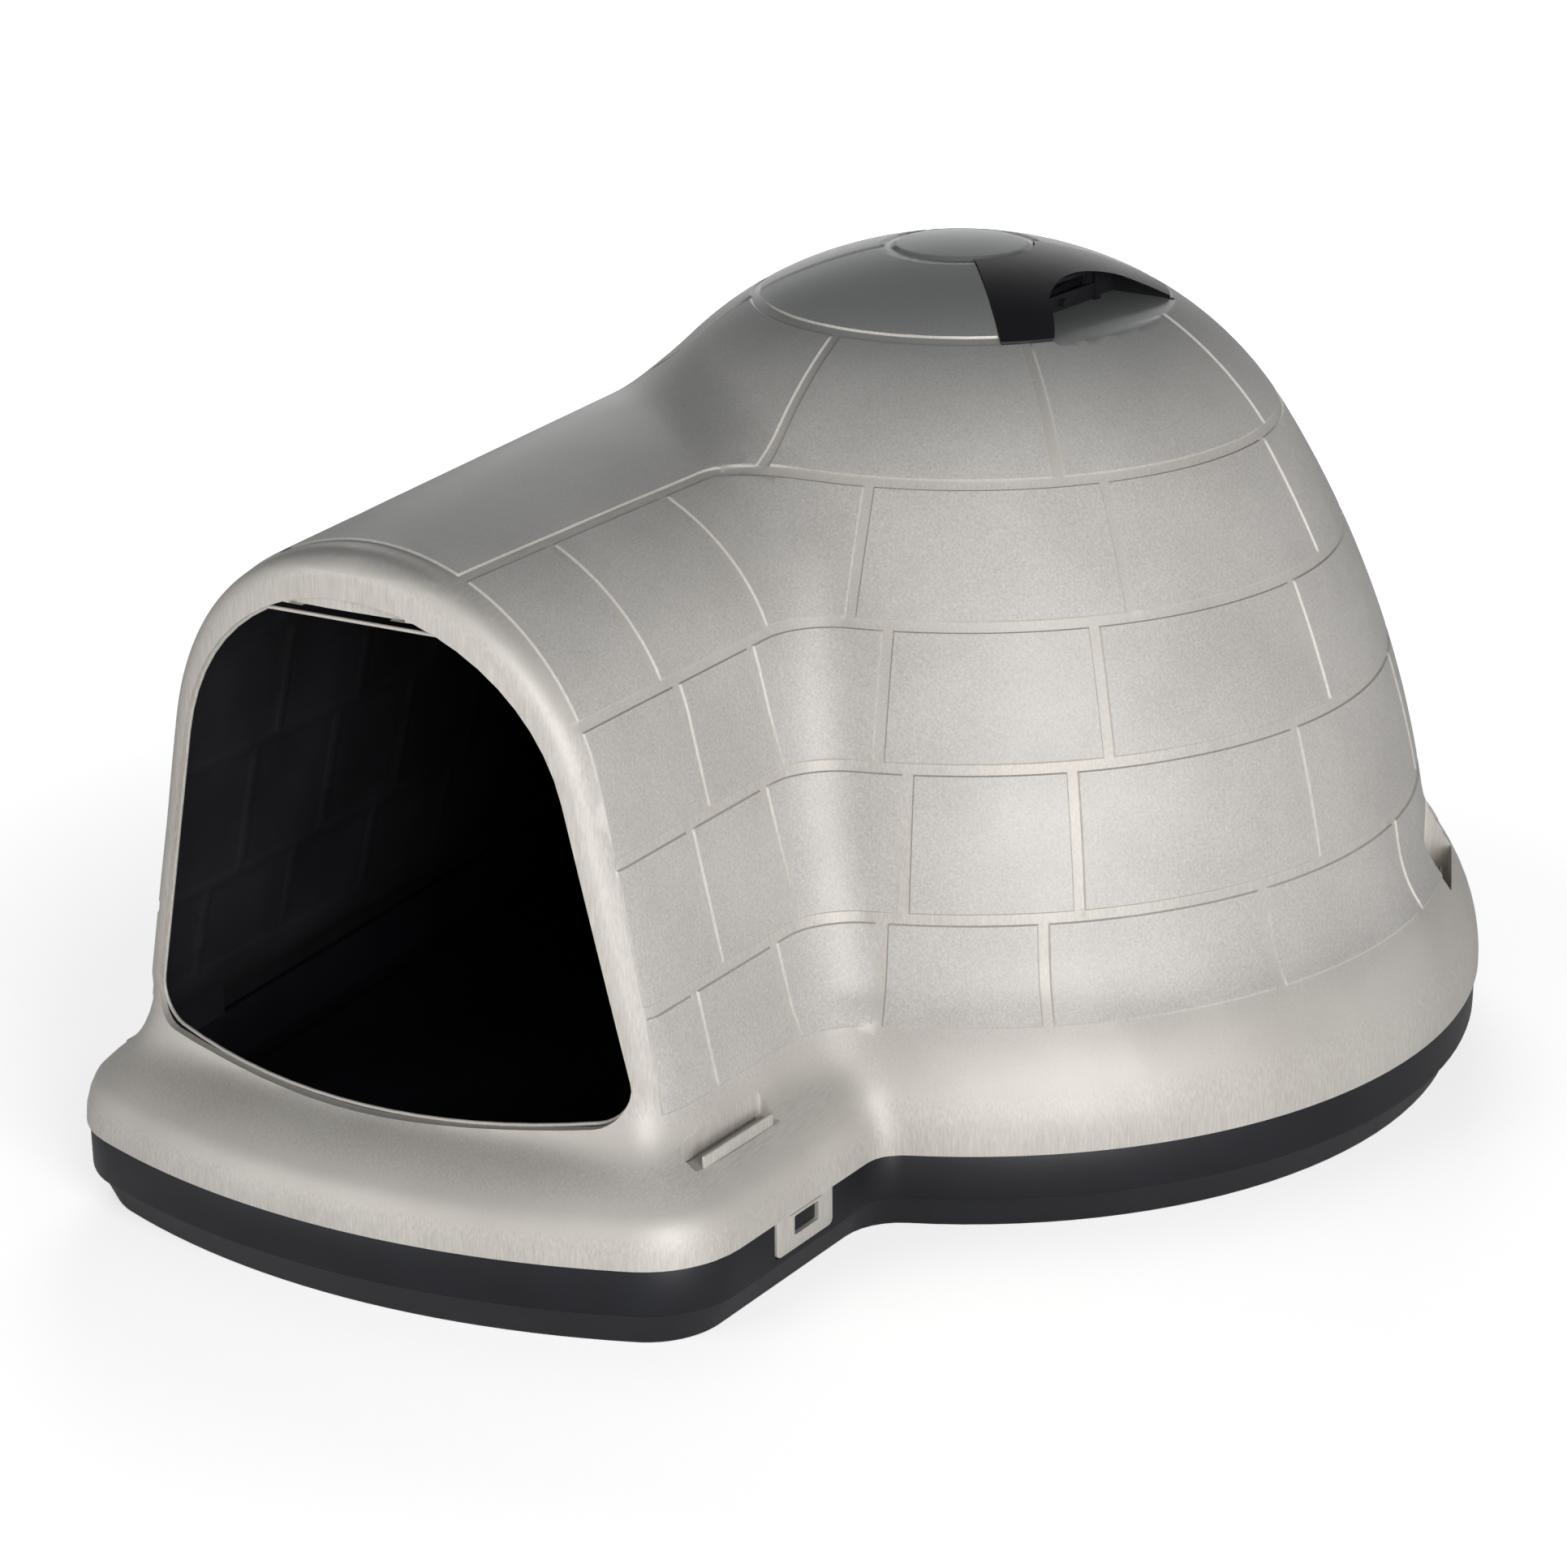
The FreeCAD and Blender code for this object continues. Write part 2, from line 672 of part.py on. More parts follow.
def vent_sector(inner, outer, spare):
    """Upright sector of the crown that the hood covers, widened all round by spare."""
    half = size("vent_half_angle") + math.degrees(spare / outer)
    ring = Part.makeCylinder(outer + spare, FAR, Vector(0, 0, 0), UP, 2 * half)
    ring = ring.cut(Part.makeCylinder(inner - spare, FAR))
    ring.rotate(Vector(0, 0, 0), UP, size("vent_azimuth") - half)
    ring.translate(AXIS)
    return ring


def upper_shell():
    """The moulded upper shell, open below, with its doorway, vent pocket and finger notches."""
    wall = size("wall")
    outer = upper_form(0).multiFuse(skirt_forms(0)).removeSplitter()
    smooth = outer.copy()
    outer = outer.fuse(raised_blocks())
    cavity = dome(wall, BELOW).multiFuse([porch(wall)] + skirt_forms(wall))
    shell = outer.cut(cavity)
    below = Part.makeBox(3 * FAR, 3 * FAR, size("seam_height") - BELOW + FAR)
    below.translate(Vector(-1.5 * FAR, -1.5 * FAR, BELOW - FAR))
    shell = shell.cut(below)
    # doorway, with its flat lintel set back under the arch
    door = doorway()
    above = Part.makeBox(3 * FAR, 3 * FAR, FAR)
    above.translate(Vector(-1.5 * FAR, -1.5 * FAR, size("lintel_height")))
    through = door.cut(above)
    recess = door.common(above).cut(porch(size("lintel_recess")))
    shell = shell.cut(through).cut(recess)
    # vent pocket under the hood, lined inside, with its window into the cabin
    back, floor, half = size("vent_back"), size("vent_floor_height"), size("vent_half_width")
    liner = size("vent_liner")
    pocket = vent_box((back - liner, FAR), half + liner, (floor - liner, FAR)).common(smooth)
    shell = shell.fuse(pocket).cut(vent_box((back, FAR), half, (floor, FAR)))
    sill = size("vent_window_sill")
    window = vent_box((back - 2 * liner, back + OVERLAP), size("vent_window_width") / 2,
                      (sill, sill + size("vent_window_height")))
    skin = size("hood_thickness") - size("hood_proud") + size("seat_clearance")
    rebate = vent_sector(size("crown_disc_radius"), size("hood_outer_radius"), size("seat_clearance"))
    rebate = rebate.cut(dome(skin, 0))
    shell = shell.cut(window).cut(rebate)
    # finger notches, with a slot by the wall and an upright tongue
    lining = wall / 2
    half, tongue_half = size("notch_width") / 2, size("tongue_width") / 2
    for seat, start, ledge in NOTCHES:
        end = start + size("notch_depth")
        pocket = seat.box((start - lining, end + lining), (-half - lining, half + lining),
                          (ledge - lining, size("notch_lining_top"))).common(smooth)
        slot = seat.box((end - size("tongue_thickness"), end), (wall - half, half - wall),
                        (ledge - wall, ledge + OVERLAP))
        tongue = seat.box((start + wall, start + wall + size("tongue_thickness")),
                          (-tongue_half, tongue_half), (ledge - OVERLAP, ledge + size("tongue_rise")))
        opening = seat.box((start, end), (-half, half), (ledge, size("notch_cut_top")))
        shell = shell.fuse(pocket).cut(opening)
        shell = shell.cut(slot).fuse(tongue)
    return shell


def vent_hood():
    """The curved hood over the vent, arched where it opens towards the outside."""
    proud = size("hood_proud")
    inset = size("seat_clearance")
    skin = dome(-proud, 0).cut(dome(size("hood_thickness") - proud, 0))
    sector = vent_sector(size("crown_disc_radius"), size("hood_outer_radius"), -inset)
    spring, crown = size("hood_arch_spring"), size("hood_arch_crown")
    leg, half = size("hood_leg_half_gap"), size("hood_arch_half_width")
    foot = ring_radius(crown) - size("hood_arch_depth")
    points = [Vector(foot, -leg, size("ring_height_a")), Vector(foot, -half, spring),
              Vector(foot, half, spring), Vector(foot, leg, size("ring_height_a"))]
    low = [Vector(foot, side * leg, 0) for side in (1, -1)]
    edges = [
        Part.makeLine(points[0], points[1]),
        arc(points[1], Vector(foot, 0, crown), points[2]),
        Part.makeLine(points[2], points[3]),
        Part.makeLine(points[3], low[0]),
        Part.makeLine(low[0], low[1]),
        Part.makeLine(low[1], points[0]),
    ]
    opening = Part.Face(Part.Wire(edges)).extrude(Vector(FAR, 0, 0))
    opening.rotate(Vector(0, 0, 0), UP, size("vent_azimuth"))
    opening.translate(AXIS)
    return skin.common(sector).cut(opening)


# ---------------------------------------------------------------- base pan
def base_pan():
    """The base pan: stepped rim, floor with a gutter, ribbed underside and the shell's spigot."""
    seam, step = size("seam_height"), size("pan_step_height")
    flange, foot_inset = size("pan_flange_inset"), size("pan_foot_inset")
    tier = flange + size("pan_step_depth")
    floor, plate = size("pan_floor_height"), size("pan_floor_thickness")
    wall, spigot = size("pan_wall"), size("spigot_inset")
    gutter = spigot + wall + size("pan_gutter_width")
    drop = size("pan_gutter_depth")
    foot = Part.makeLoft([PLAN.outline(tier, step), PLAN.outline(foot_inset, 0)], True, True)
    rim = PLAN.prism(flange, step, seam - size("seat_clearance"))
    lip = PLAN.prism(spigot, floor, seam + size("spigot_rise"))
    pan = foot.fuse(rim).fuse(lip)
    tray = PLAN.prism(spigot + wall, floor - drop, seam + FAR).cut(PLAN.prism(gutter, 0, floor))
    pan = pan.cut(tray)
    hollow = PLAN.prism(foot_inset + wall, -OVERLAP, floor - drop - plate)
    hollow = hollow.fuse(PLAN.prism(gutter + plate, -OVERLAP, floor - plate))
    spacing, rib = size("pan_rib_spacing"), size("pan_rib_thickness")
    count = int(size("porch_reach") // spacing)
    for index in range(-count, count + 1):
        place = index * spacing - rib / 2
        along = Part.makeBox(rib, 3 * FAR, FAR, Vector(place, -1.5 * FAR, rib))
        across = Part.makeBox(3 * FAR, rib, FAR, Vector(-1.5 * FAR, place, rib))
        hollow = hollow.cut(along).cut(across)
    pan = pan.cut(hollow)
    gap = size("latch_clearance")
    half = size("latch_width") / 2
    lug_half = size("latch_window_width") / 2 - gap
    bottom = seam - size("latch_drop") - gap
    for name, seat in SEATS.items():
        sagitta = latch_depth(name)
        depth = size("latch_pocket_depth")
        pocket = seat.box((-wall, depth), (-half - gap, half + gap), (bottom, seam))
        lug_low = seam - size("latch_drop") + size("latch_bar") + gap
        lug_high = lug_low + size("latch_window_height") - 2 * gap
        lug = seat.box((sagitta + gap, depth + OVERLAP), (-lug_half, lug_half), (lug_low, lug_high))
        pan = pan.cut(pocket).fuse(lug)
    return pan


def latch_depth(name):
    """How far in from the seam a latch's flat outer face lies: more on the round wall."""
    if name.startswith("rear"):
        half = size("latch_width") / 2
        return size("latch_setback") + PLAN.radius - math.sqrt(PLAN.radius ** 2 - half ** 2)
    return size("latch_setback")


# ---------------------------------------------------------------- small parts with sketches
def origin_plane(body, role):
    """One of a body's own origin planes."""
    return next(item for item in body.Origin.OriginFeatures if item.Role == role)


def rectangle_sketch(body, name, plane, left, right, low, high):
    """Sketch of an upright rectangle whose four distances are bound to the sheet."""
    sketch = body.newObject("Sketcher::SketchObject", name)
    sketch.AttachmentSupport = [(origin_plane(body, plane), "")]
    sketch.MapMode = "FlatFace"
    rough = 10.0
    corners = [Vector(x * rough, y * rough, 0) for x, y in ((-1, -1), (1, -1), (1, 1), (-1, 1))]
    for index in range(4):
        line = Part.LineSegment(corners[index], corners[(index + 1) % 4])
        sketch.addGeometry(line, False)
    for index in range(4):
        sketch.addConstraint(Sketcher.Constraint("Coincident", index, 2, (index + 1) % 4, 1))
    for index, kind in enumerate(("Horizontal", "Vertical", "Horizontal", "Vertical")):
        sketch.addConstraint(Sketcher.Constraint(kind, index))
    bounds = [("DistanceX", 0, 1, -rough, left), ("DistanceX", 0, 2, rough, right),
              ("DistanceY", 0, 1, -rough, low), ("DistanceY", 2, 2, rough, high)]
    for kind, line, end, start, formula in bounds:
        number = sketch.addConstraint(Sketcher.Constraint(kind, -1, 1, line, end, start))
        sketch.setExpression(f"Constraints[{number}]", formula)
    return sketch


def padded(body, sketch, name, length, reverse):
    """Pad of a sketch by a length bound to the sheet."""
    pad = body.newObject("PartDesign::Pad", name)
    pad.Profile = sketch
    pad.Reversed = reverse
    pad.setExpression("Length", length)
    return pad


def pocketed(body, sketch, name):
    """Pocket of a sketch right through the body, both ways."""
    pocket = body.newObject("PartDesign::Pocket", name)
    pocket.Profile = sketch
    pocket.Type = "ThroughAll"
    pocket.Midplane = True
    return pocket


def rounded(body, feature, name, radius, chosen):
    """Fillet of the feature's edges that pass a test."""
    doc.recompute()
    names = [f"Edge{index}" for index, edge in enumerate(feature.Shape.Edges, start=1) if chosen(edge)]
    fillet = body.newObject("PartDesign::Fillet", name)
    fillet.Base = (feature, names)
    fillet.setExpression("Radius", radius)
    return fillet


def latch(name):
    """Spring latch: a tab that hangs from the shell's seam, with a window for the pan's lug."""
    body = doc.addObject("PartDesign::Body", "latch_" + name)
    half = "sizes.latch_width / 2"
    outline = rectangle_sketch(body, "tab_outline_" + name, "XZ_Plane",
                               f"-{half}", half, "-sizes.latch_drop", "0 mm")
    tab = padded(body, outline, "tab_" + name, "sizes.latch_thickness", True)
    tab = rounded(body, tab, "tab_corners_" + name, "sizes.latch_corner",
                  lambda edge: edge.BoundBox.YLength > OVERLAP and edge.BoundBox.ZMax < -OVERLAP)
    half = "sizes.latch_window_width / 2"
    low = "-sizes.latch_drop + sizes.latch_bar"
    hole = rectangle_sketch(body, "window_outline_" + name, "XZ_Plane",
                            f"-{half}", half, low, f"{low} + sizes.latch_window_height")
    window = pocketed(body, hole, "window_" + name)
    inner = size("latch_window_width") / 2 + OVERLAP
    rounded(body, window, "window_corners_" + name, "sizes.latch_window_corner",
            lambda edge: edge.BoundBox.YLength > OVERLAP and abs(middle(edge).x) < inner)
    seat = SEATS[name]
    turned = Rotation(UP, seat.angle - 90)
    depth = turned.multVec(Vector(0, latch_depth(name), 0))
    body.Placement = FreeCAD.Placement(seat.point + depth + UP * size("seam_height"), turned)
    return body


def at_vent(out, height):
    """Placement in the vent: x across, y towards the dome's axis, z up."""
    turned = Rotation(UP, size("vent_azimuth") + 90)
    place = AXIS + direction(size("vent_azimuth")) * out + UP * height
    return FreeCAD.Placement(place, turned)


def vent_frame():
    """Frame round the vent's window, with an upright runner at each side for the shutter."""
    body = doc.addObject("PartDesign::Body", "vent_frame")
    half = "sizes.frame_width / 2"
    outline = rectangle_sketch(body, "frame_outline", "XZ_Plane", f"-{half}", half,
                               "0 mm", "sizes.frame_height")
    padded(body, outline, "frame_plate", "sizes.frame_thickness", False)
    window_half = "sizes.vent_window_width / 2"
    low = "sizes.vent_window_sill - sizes.vent_floor_height"
    hole = rectangle_sketch(body, "frame_window_outline", "XZ_Plane", f"-{window_half}", window_half,
                            low, f"{low} + sizes.vent_window_height")
    pocketed(body, hole, "frame_window")
    slide = "sizes.shutter_width / 2 + sizes.seat_clearance"
    track = "sizes.frame_thickness + sizes.shutter_thickness + 2 * sizes.seat_clearance"
    for side, near, far in (("left", f"-({half})", f"-({slide})"), ("right", slide, half)):
        runner = rectangle_sketch(body, side + "_runner_outline", "XZ_Plane", near, far,
                                  "0 mm", "sizes.frame_height")
        padded(body, runner, side + "_runner", track, False)
    lip = "sizes.shutter_width / 2 - sizes.runner_lip"
    for side, near, far in (("left", f"-({half})", f"-({lip})"), ("right", lip, half)):
        edge = rectangle_sketch(body, side + "_lip_outline", "XZ_Plane", near, far,
                                "0 mm", "sizes.frame_height")
        edge.setExpression("AttachmentOffset.Base.z", track)
        padded(body, edge, side + "_lip", "sizes.runner_lip", False)
    body.Placement = at_vent(size("vent_back"), size("vent_floor_height"))
    return body


def vent_shutter():
    """Sliding shutter of the vent, with a nub to push it by."""
    body = doc.addObject("PartDesign::Body", "vent_shutter")
    half = "sizes.shutter_width / 2"
    outline = rectangle_sketch(body, "shutter_outline", "XZ_Plane", f"-{half}", half,
                               "0 mm", "sizes.shutter_height")
    padded(body, outline, "shutter_plate", "sizes.shutter_thickness", False)
    nub_half = "sizes.shutter_nub / 2"
    middle_height = "sizes.shutter_height / 2"
    nub = rectangle_sketch(body, "nub_outline", "XZ_Plane", f"-{nub_half}", nub_half,
                           f"{middle_height} - {nub_half}", f"{middle_height} + {nub_half}")
    nub.setExpression("AttachmentOffset.Base.z", "sizes.shutter_thickness - sizes.nub_bite")
    padded(body, nub, "nub", "sizes.shutter_nub + sizes.nub_bite", False)
    out = size("vent_back") + size("frame_thickness") + size("seat_clearance")
    body.Placement = at_vent(out, size("vent_floor_height") + size("shutter_rest"))
    return body


def shaped(name, shape):
    """Document object that holds a shape made by functions."""
    feature = doc.addObject("Part::Feature", name)
    feature.Shape = shape
    feature.Placement = FreeCAD.Placement()
    return feature


nodes = [
    shaped("base_pan", base_pan()),
    shaped("upper_shell", upper_shell()),
    shaped("vent_hood", vent_hood()),
    vent_frame(),
    vent_shutter(),
]
nodes += [latch(name) for name in SEATS]
doc.recompute()

# ---------------------------------------------------------------- checks and files
for item in doc.Objects:
    if "Invalid" in item.State or "Error" in item.State:
        raise RuntimeError(f"{item.Label} failed: {item.State}")
for node in nodes:
    if node.Shape.isNull() or not node.Shape.isValid():
        raise RuntimeError(f"{node.Label} has no valid shape")
    if len(node.Shape.Solids) != 1:
        raise RuntimeError(f"{node.Label} has {len(node.Shape.Solids)} solids")
os.makedirs("parts", exist_ok=True)
for node in nodes:
    box = node.Shape.BoundBox
    ranges = [(box.XMin, box.XMax), (box.YMin, box.YMax), (box.ZMin, box.ZMax)]
    spans = " ".join(f"{low:.1f}..{high:.1f}" for low, high in ranges)
    print(f"{node.Label}: {node.Shape.Volume / 1000:.1f} cm3, {spans}")
    node.Shape.exportStep(f"parts/{node.Label}.step")
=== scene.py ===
import math

import bmesh
import bpy
import numpy as np
from mathutils import Matrix, Vector


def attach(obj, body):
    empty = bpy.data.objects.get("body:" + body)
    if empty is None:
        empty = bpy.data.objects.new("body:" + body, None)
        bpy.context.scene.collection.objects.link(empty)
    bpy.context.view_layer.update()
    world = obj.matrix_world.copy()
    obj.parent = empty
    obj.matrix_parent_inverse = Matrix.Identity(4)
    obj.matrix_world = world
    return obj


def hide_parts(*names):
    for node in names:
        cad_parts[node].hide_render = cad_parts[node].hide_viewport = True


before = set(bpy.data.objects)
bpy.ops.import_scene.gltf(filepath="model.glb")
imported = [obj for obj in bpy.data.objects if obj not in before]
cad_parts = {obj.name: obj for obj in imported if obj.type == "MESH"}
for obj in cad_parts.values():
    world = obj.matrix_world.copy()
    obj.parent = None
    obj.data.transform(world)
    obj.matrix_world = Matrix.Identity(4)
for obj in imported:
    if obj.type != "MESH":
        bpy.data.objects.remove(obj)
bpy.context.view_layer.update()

# ---------------------------------------------------------------- camera
# A long lens from the front right and above, at the height from which the photograph
# looks down on the porch and the crown. The view is fitted to the dome's circles.
CAMERA_PLACE = Vector((1.2606, -2.4706, 1.2905))
CAMERA_YAW = math.radians(28.687)
CAMERA_PITCH = math.radians(20.782)
CAMERA_ROLL = math.radians(-0.465)
FOCAL_PIXELS = 4588.9
FRAME_HEIGHT = 1932


def camera_matrix():
    """World matrix of the camera from its place, yaw, pitch and roll."""
    forward = Vector((
        -math.sin(CAMERA_YAW) * math.cos(CAMERA_PITCH),
        math.cos(CAMERA_YAW) * math.cos(CAMERA_PITCH),
        -math.sin(CAMERA_PITCH),
    ))
    level = Vector((math.cos(CAMERA_YAW), math.sin(CAMERA_YAW), 0))
    upward = level.cross(forward)
    right = level * math.cos(CAMERA_ROLL) + upward * math.sin(CAMERA_ROLL)
    top = upward * math.cos(CAMERA_ROLL) - level * math.sin(CAMERA_ROLL)
    turned = Matrix((right, top, -forward)).transposed().to_4x4()
    return Matrix.Translation(CAMERA_PLACE) @ turned


lens = bpy.data.cameras.new("photo_camera")
lens.sensor_fit = "VERTICAL"
lens.sensor_height = 36.0
lens.lens = FOCAL_PIXELS / FRAME_HEIGHT * lens.sensor_height
lens.clip_end = 50
camera = bpy.data.objects.new("photo_camera", lens)
camera.matrix_world = camera_matrix()
bpy.context.scene.collection.objects.link(camera)
bpy.context.scene.camera = camera
bpy.context.scene.view_settings.view_transform = "Standard"


# ---------------------------------------------------------------- floor and light
# A plain white sweep in a soft studio: a broad lamp low on the right in front, a weaker one
# on the left and one behind. The surround is bright at the horizon and dim overhead, so that
# walls are light and the crown stays darker, as in the photograph.
WHITE = "FFFFFF"
FLOOR_COLOUR = "F2F2F2"
FLOOR_REACH = 12
SURROUND_COLOUR = "F1F3F6"
HORIZON_STRENGTH = 0.55
ZENITH_STRENGTH = 0.07
HORIZON_RANGE = (0.05, 0.55)
FLOOR_GLOW = 0.6
GLOW_RANGE = (0.7, 1.9)
# place, width and power of each lamp
LAMPS = {
    "key": (Vector((3.0, -2.6, 1.25)), 2.6, 112.0),
    "left": (Vector((-2.2, -3.8, 1.0)), 2.4, 42.0),
    "back": (Vector((-1.8, 3.6, 1.3)), 2.6, 62.0),
}


def linear(code):
    """Linear colour of an sRGB hex code."""
    parts = [int(code[index:index + 2], 16) / 255 for index in (0, 2, 4)]
    return [part / 12.92 if part <= 0.04045 else ((part + 0.055) / 1.055) ** 2.4
            for part in parts] + [1]


def add_node(tree, kind, links=None, **settings):
    """Adds a node: settings go to its properties, links to its input sockets."""
    node = tree.nodes.new(kind)
    for name, value in settings.items():
        setattr(node, name, value)
    for name, value in (links or {}).items():
        if isinstance(value, bpy.types.NodeSocket):
            tree.links.new(value, node.inputs[name])
        else:
            node.inputs[name].default_value = value
    return node


def ranged(tree, value, before, after=(0, 1), **settings):
    """Output of a node that maps one range of a value on to another."""
    return add_node(tree, "ShaderNodeMapRange", {
        "Value": value, "From Min": before[0], "From Max": before[1],
        "To Min": after[0], "To Max": after[1]}, **settings).outputs[0]


def new_material(name):
    """Empty node material, its tree and its output node."""
    material = bpy.data.materials.new(name)
    material.use_nodes = True
    tree = material.node_tree
    tree.nodes.clear()
    return material, tree, add_node(tree, "ShaderNodeOutputMaterial")


def studio():
    """Floor, lamps and surround."""
    bm = bmesh.new()
    bmesh.ops.create_grid(bm, x_segments=1, y_segments=1, size=FLOOR_REACH)
    mesh = bpy.data.meshes.new("studio_floor")
    bm.to_mesh(mesh)
    bm.free()
    floor = bpy.data.objects.new("studio_floor", mesh)
    bpy.context.scene.collection.objects.link(floor)
    # matt white paper, lifted to plain white away from the house for the camera alone
    material, tree, output = new_material("white_paper_sweep")
    coat = add_node(tree, "ShaderNodeBsdfPrincipled", {
        "Base Color": linear(FLOOR_COLOUR), "Roughness": 0.9})
    place = add_node(tree, "ShaderNodeTexCoord").outputs["Object"]
    away = add_node(tree, "ShaderNodeVectorMath", {0: place}, operation="LENGTH")
    glow = ranged(tree, away.outputs["Value"], GLOW_RANGE, (FLOOR_GLOW, 1))
    seen = add_node(tree, "ShaderNodeLightPath").outputs["Is Camera Ray"]
    strength = add_node(tree, "ShaderNodeMath", {0: glow, 1: seen}, operation="MULTIPLY")
    lift = add_node(tree, "ShaderNodeEmission", {
        "Color": linear(WHITE), "Strength": strength.outputs[0]})
    both = add_node(tree, "ShaderNodeAddShader", {0: coat.outputs[0], 1: lift.outputs[0]})
    tree.links.new(both.outputs[0], output.inputs["Surface"])
    mesh.materials.append(material)
    for name, (place, width, power) in LAMPS.items():
        light = bpy.data.lights.new(name + "_lamp", "AREA")
        light.shape = "DISK"
        light.size = width
        light.energy = power
        lamp = bpy.data.objects.new(name + "_lamp", light)
        lamp.location = place
        lamp.rotation_euler = (-place).to_track_quat("-Z", "Y").to_euler()
        bpy.context.scene.collection.objects.link(lamp)
    world = bpy.data.worlds.new("surround")
    bpy.context.scene.world = world
    world.use_nodes = True
    tree = world.node_tree
    tree.nodes.clear()
    output = add_node(tree, "ShaderNodeOutputWorld")
    rays = add_node(tree, "ShaderNodeLightPath")
    clear = add_node(tree, "ShaderNodeMath", {
        0: rays.outputs["Is Camera Ray"], 1: rays.outputs["Is Transmission Ray"],
    }, operation="MAXIMUM")
    direction = add_node(tree, "ShaderNodeTexCoord").outputs["Generated"]
    height = add_node(tree, "ShaderNodeSeparateXYZ", {"Vector": direction}).outputs["Z"]
    level = ranged(tree, height, HORIZON_RANGE, (HORIZON_STRENGTH, ZENITH_STRENGTH),
                   interpolation_type="SMOOTHSTEP")
    soft = add_node(tree, "ShaderNodeBackground", {
        "Color": linear(SURROUND_COLOUR), "Strength": level})
    white = add_node(tree, "ShaderNodeBackground", {"Color": linear(WHITE), "Strength": 1.0})
    mix = add_node(tree, "ShaderNodeMixShader", {
        0: clear.outputs[0], 1: soft.outputs[0], 2: white.outputs[0]})
    tree.links.new(mix.outputs[0], output.inputs["Surface"])


studio()


# ---------------------------------------------------------------- shell moulding: its form
# The upper shell is one moulding in structural polyethylene foam: a domed body, a porch
# tunnel that grows out of its front left, and a rolled skirt round both. The form is kept
# as distances to those three, joined with the radii that the mould has.
MM = 0.001
DOME_Y = 0.131
APEX = 0.651
# radius of each arc of the dome's profile and its slope at the lower end, in degrees
DOME_ARCS = ((0.3315, 22.96), (0.2862, 57.51), (0.8549, 79.91))
# radius, height and slope where the dome's foot turns into the skirt
SKIRT_BEND = (0.400, 0.158, 52.0)
SKIRT_RADIUS = 0.434
SEAM = 0.066
PORCH_X = -0.163
PORCH_STATION = -0.469
PORCH_FRONT = dict(centre=PORCH_X, right=0.182, left=0.182, rise=0.197, spring=0.343,
                   right_lean=0.215, left_lean=0.215)
PORCH_REAR = dict(centre=-0.175, right=0.203, left=0.108, rise=0.110, spring=0.442,
                  right_lean=0.33, left_lean=0.27)
PORCH_FOOT = 0.100
NOSE_RADIUS = 0.593
NOSE_LEAN = math.tan(math.radians(1.8))
NOSE_FILLET = 0.016
VALLEY_FILLET = 0.040
CREASE_FILLET = 0.009
FRONT_RADIUS = 0.655
FRONT_CENTRE = Vector((PORCH_X, -0.565 + FRONT_RADIUS, 0))
CORNER_RADIUS = 0.080
VALLEY_RADIUS = 0.030
SIDE_REACH = 0.1853
SIDE_LEAN = math.radians(6.34)
PORCH_SKIRT = 0.062
BELOW = -0.1
ROLL_REACH = 0.5
ROUGH_INSET = 0.012
ROUGH_DEPTH = 0.05
ROUGH_NOSE = 0.020
OUT = Vector((math.cos(SIDE_LEAN), -math.sin(SIDE_LEAN), 0))
ALONG = Vector((math.sin(SIDE_LEAN), math.cos(SIDE_LEAN), 0))
AXIS = Vector((0, DOME_Y, 0))


def arc_points(centre, start, end, steps):
    """Points of the short arc from start to end about a centre, the last one left out."""
    first, last = start - centre, end - centre
    sweep = math.atan2(first.x * last.y - first.y * last.x, first.dot(last))
    return [centre + Matrix.Rotation(sweep * index / steps, 3, "Z") @ first
            for index in range(steps)]


def keyhole(inset, steps=12):
    """Plan outline of the seam, inset by a distance: circle, valley, side, corner, front."""
    reach = SIDE_REACH + VALLEY_RADIUS
    drop = math.sqrt((SKIRT_RADIUS + VALLEY_RADIUS) ** 2 - reach ** 2)
    valley = AXIS + OUT * reach - ALONG * drop
    inner = FRONT_RADIUS - CORNER_RADIUS
    side = SIDE_REACH - CORNER_RADIUS - (FRONT_CENTRE - AXIS).dot(OUT)
    right = FRONT_CENTRE + OUT * side - ALONG * math.sqrt(inner ** 2 - side ** 2)
    left_x = CORNER_RADIUS - SKIRT_RADIUS
    left = Vector((left_x, FRONT_CENTRE.y - math.sqrt(inner ** 2 - (left_x - PORCH_X) ** 2), 0))
    circle = SKIRT_RADIUS - inset
    west = AXIS - Vector((circle, 0, 0))
    east = AXIS + Vector((circle, 0, 0))
    north = AXIS + Vector((0, circle, 0))
    neck = AXIS + (valley - AXIS).normalized() * circle
    bend_end = valley - OUT * (VALLEY_RADIUS + inset)
    side_end = right + OUT * (CORNER_RADIUS - inset)
    front_right = FRONT_CENTRE + (right - FRONT_CENTRE).normalized() * (FRONT_RADIUS - inset)
    front_left = FRONT_CENTRE + (left - FRONT_CENTRE).normalized() * (FRONT_RADIUS - inset)
    left_end = left - Vector((CORNER_RADIUS - inset, 0, 0))
    points = arc_points(AXIS, west, north, 3 * steps) + arc_points(AXIS, north, east, 3 * steps)
    points += arc_points(AXIS, east, neck, 2 * steps)
    points += arc_points(valley, neck, bend_end, steps // 2)
    points += [bend_end + (side_end - bend_end) * index / steps for index in range(steps)]
    points += arc_points(right, side_end, front_right, steps)
    points += arc_points(FRONT_CENTRE, front_right, front_left, 2 * steps)
    points += arc_points(left, front_left, left_end, steps)
    points += [left_end + (west - left_end) * index / (3 * steps) for index in range(3 * steps)]
    return points


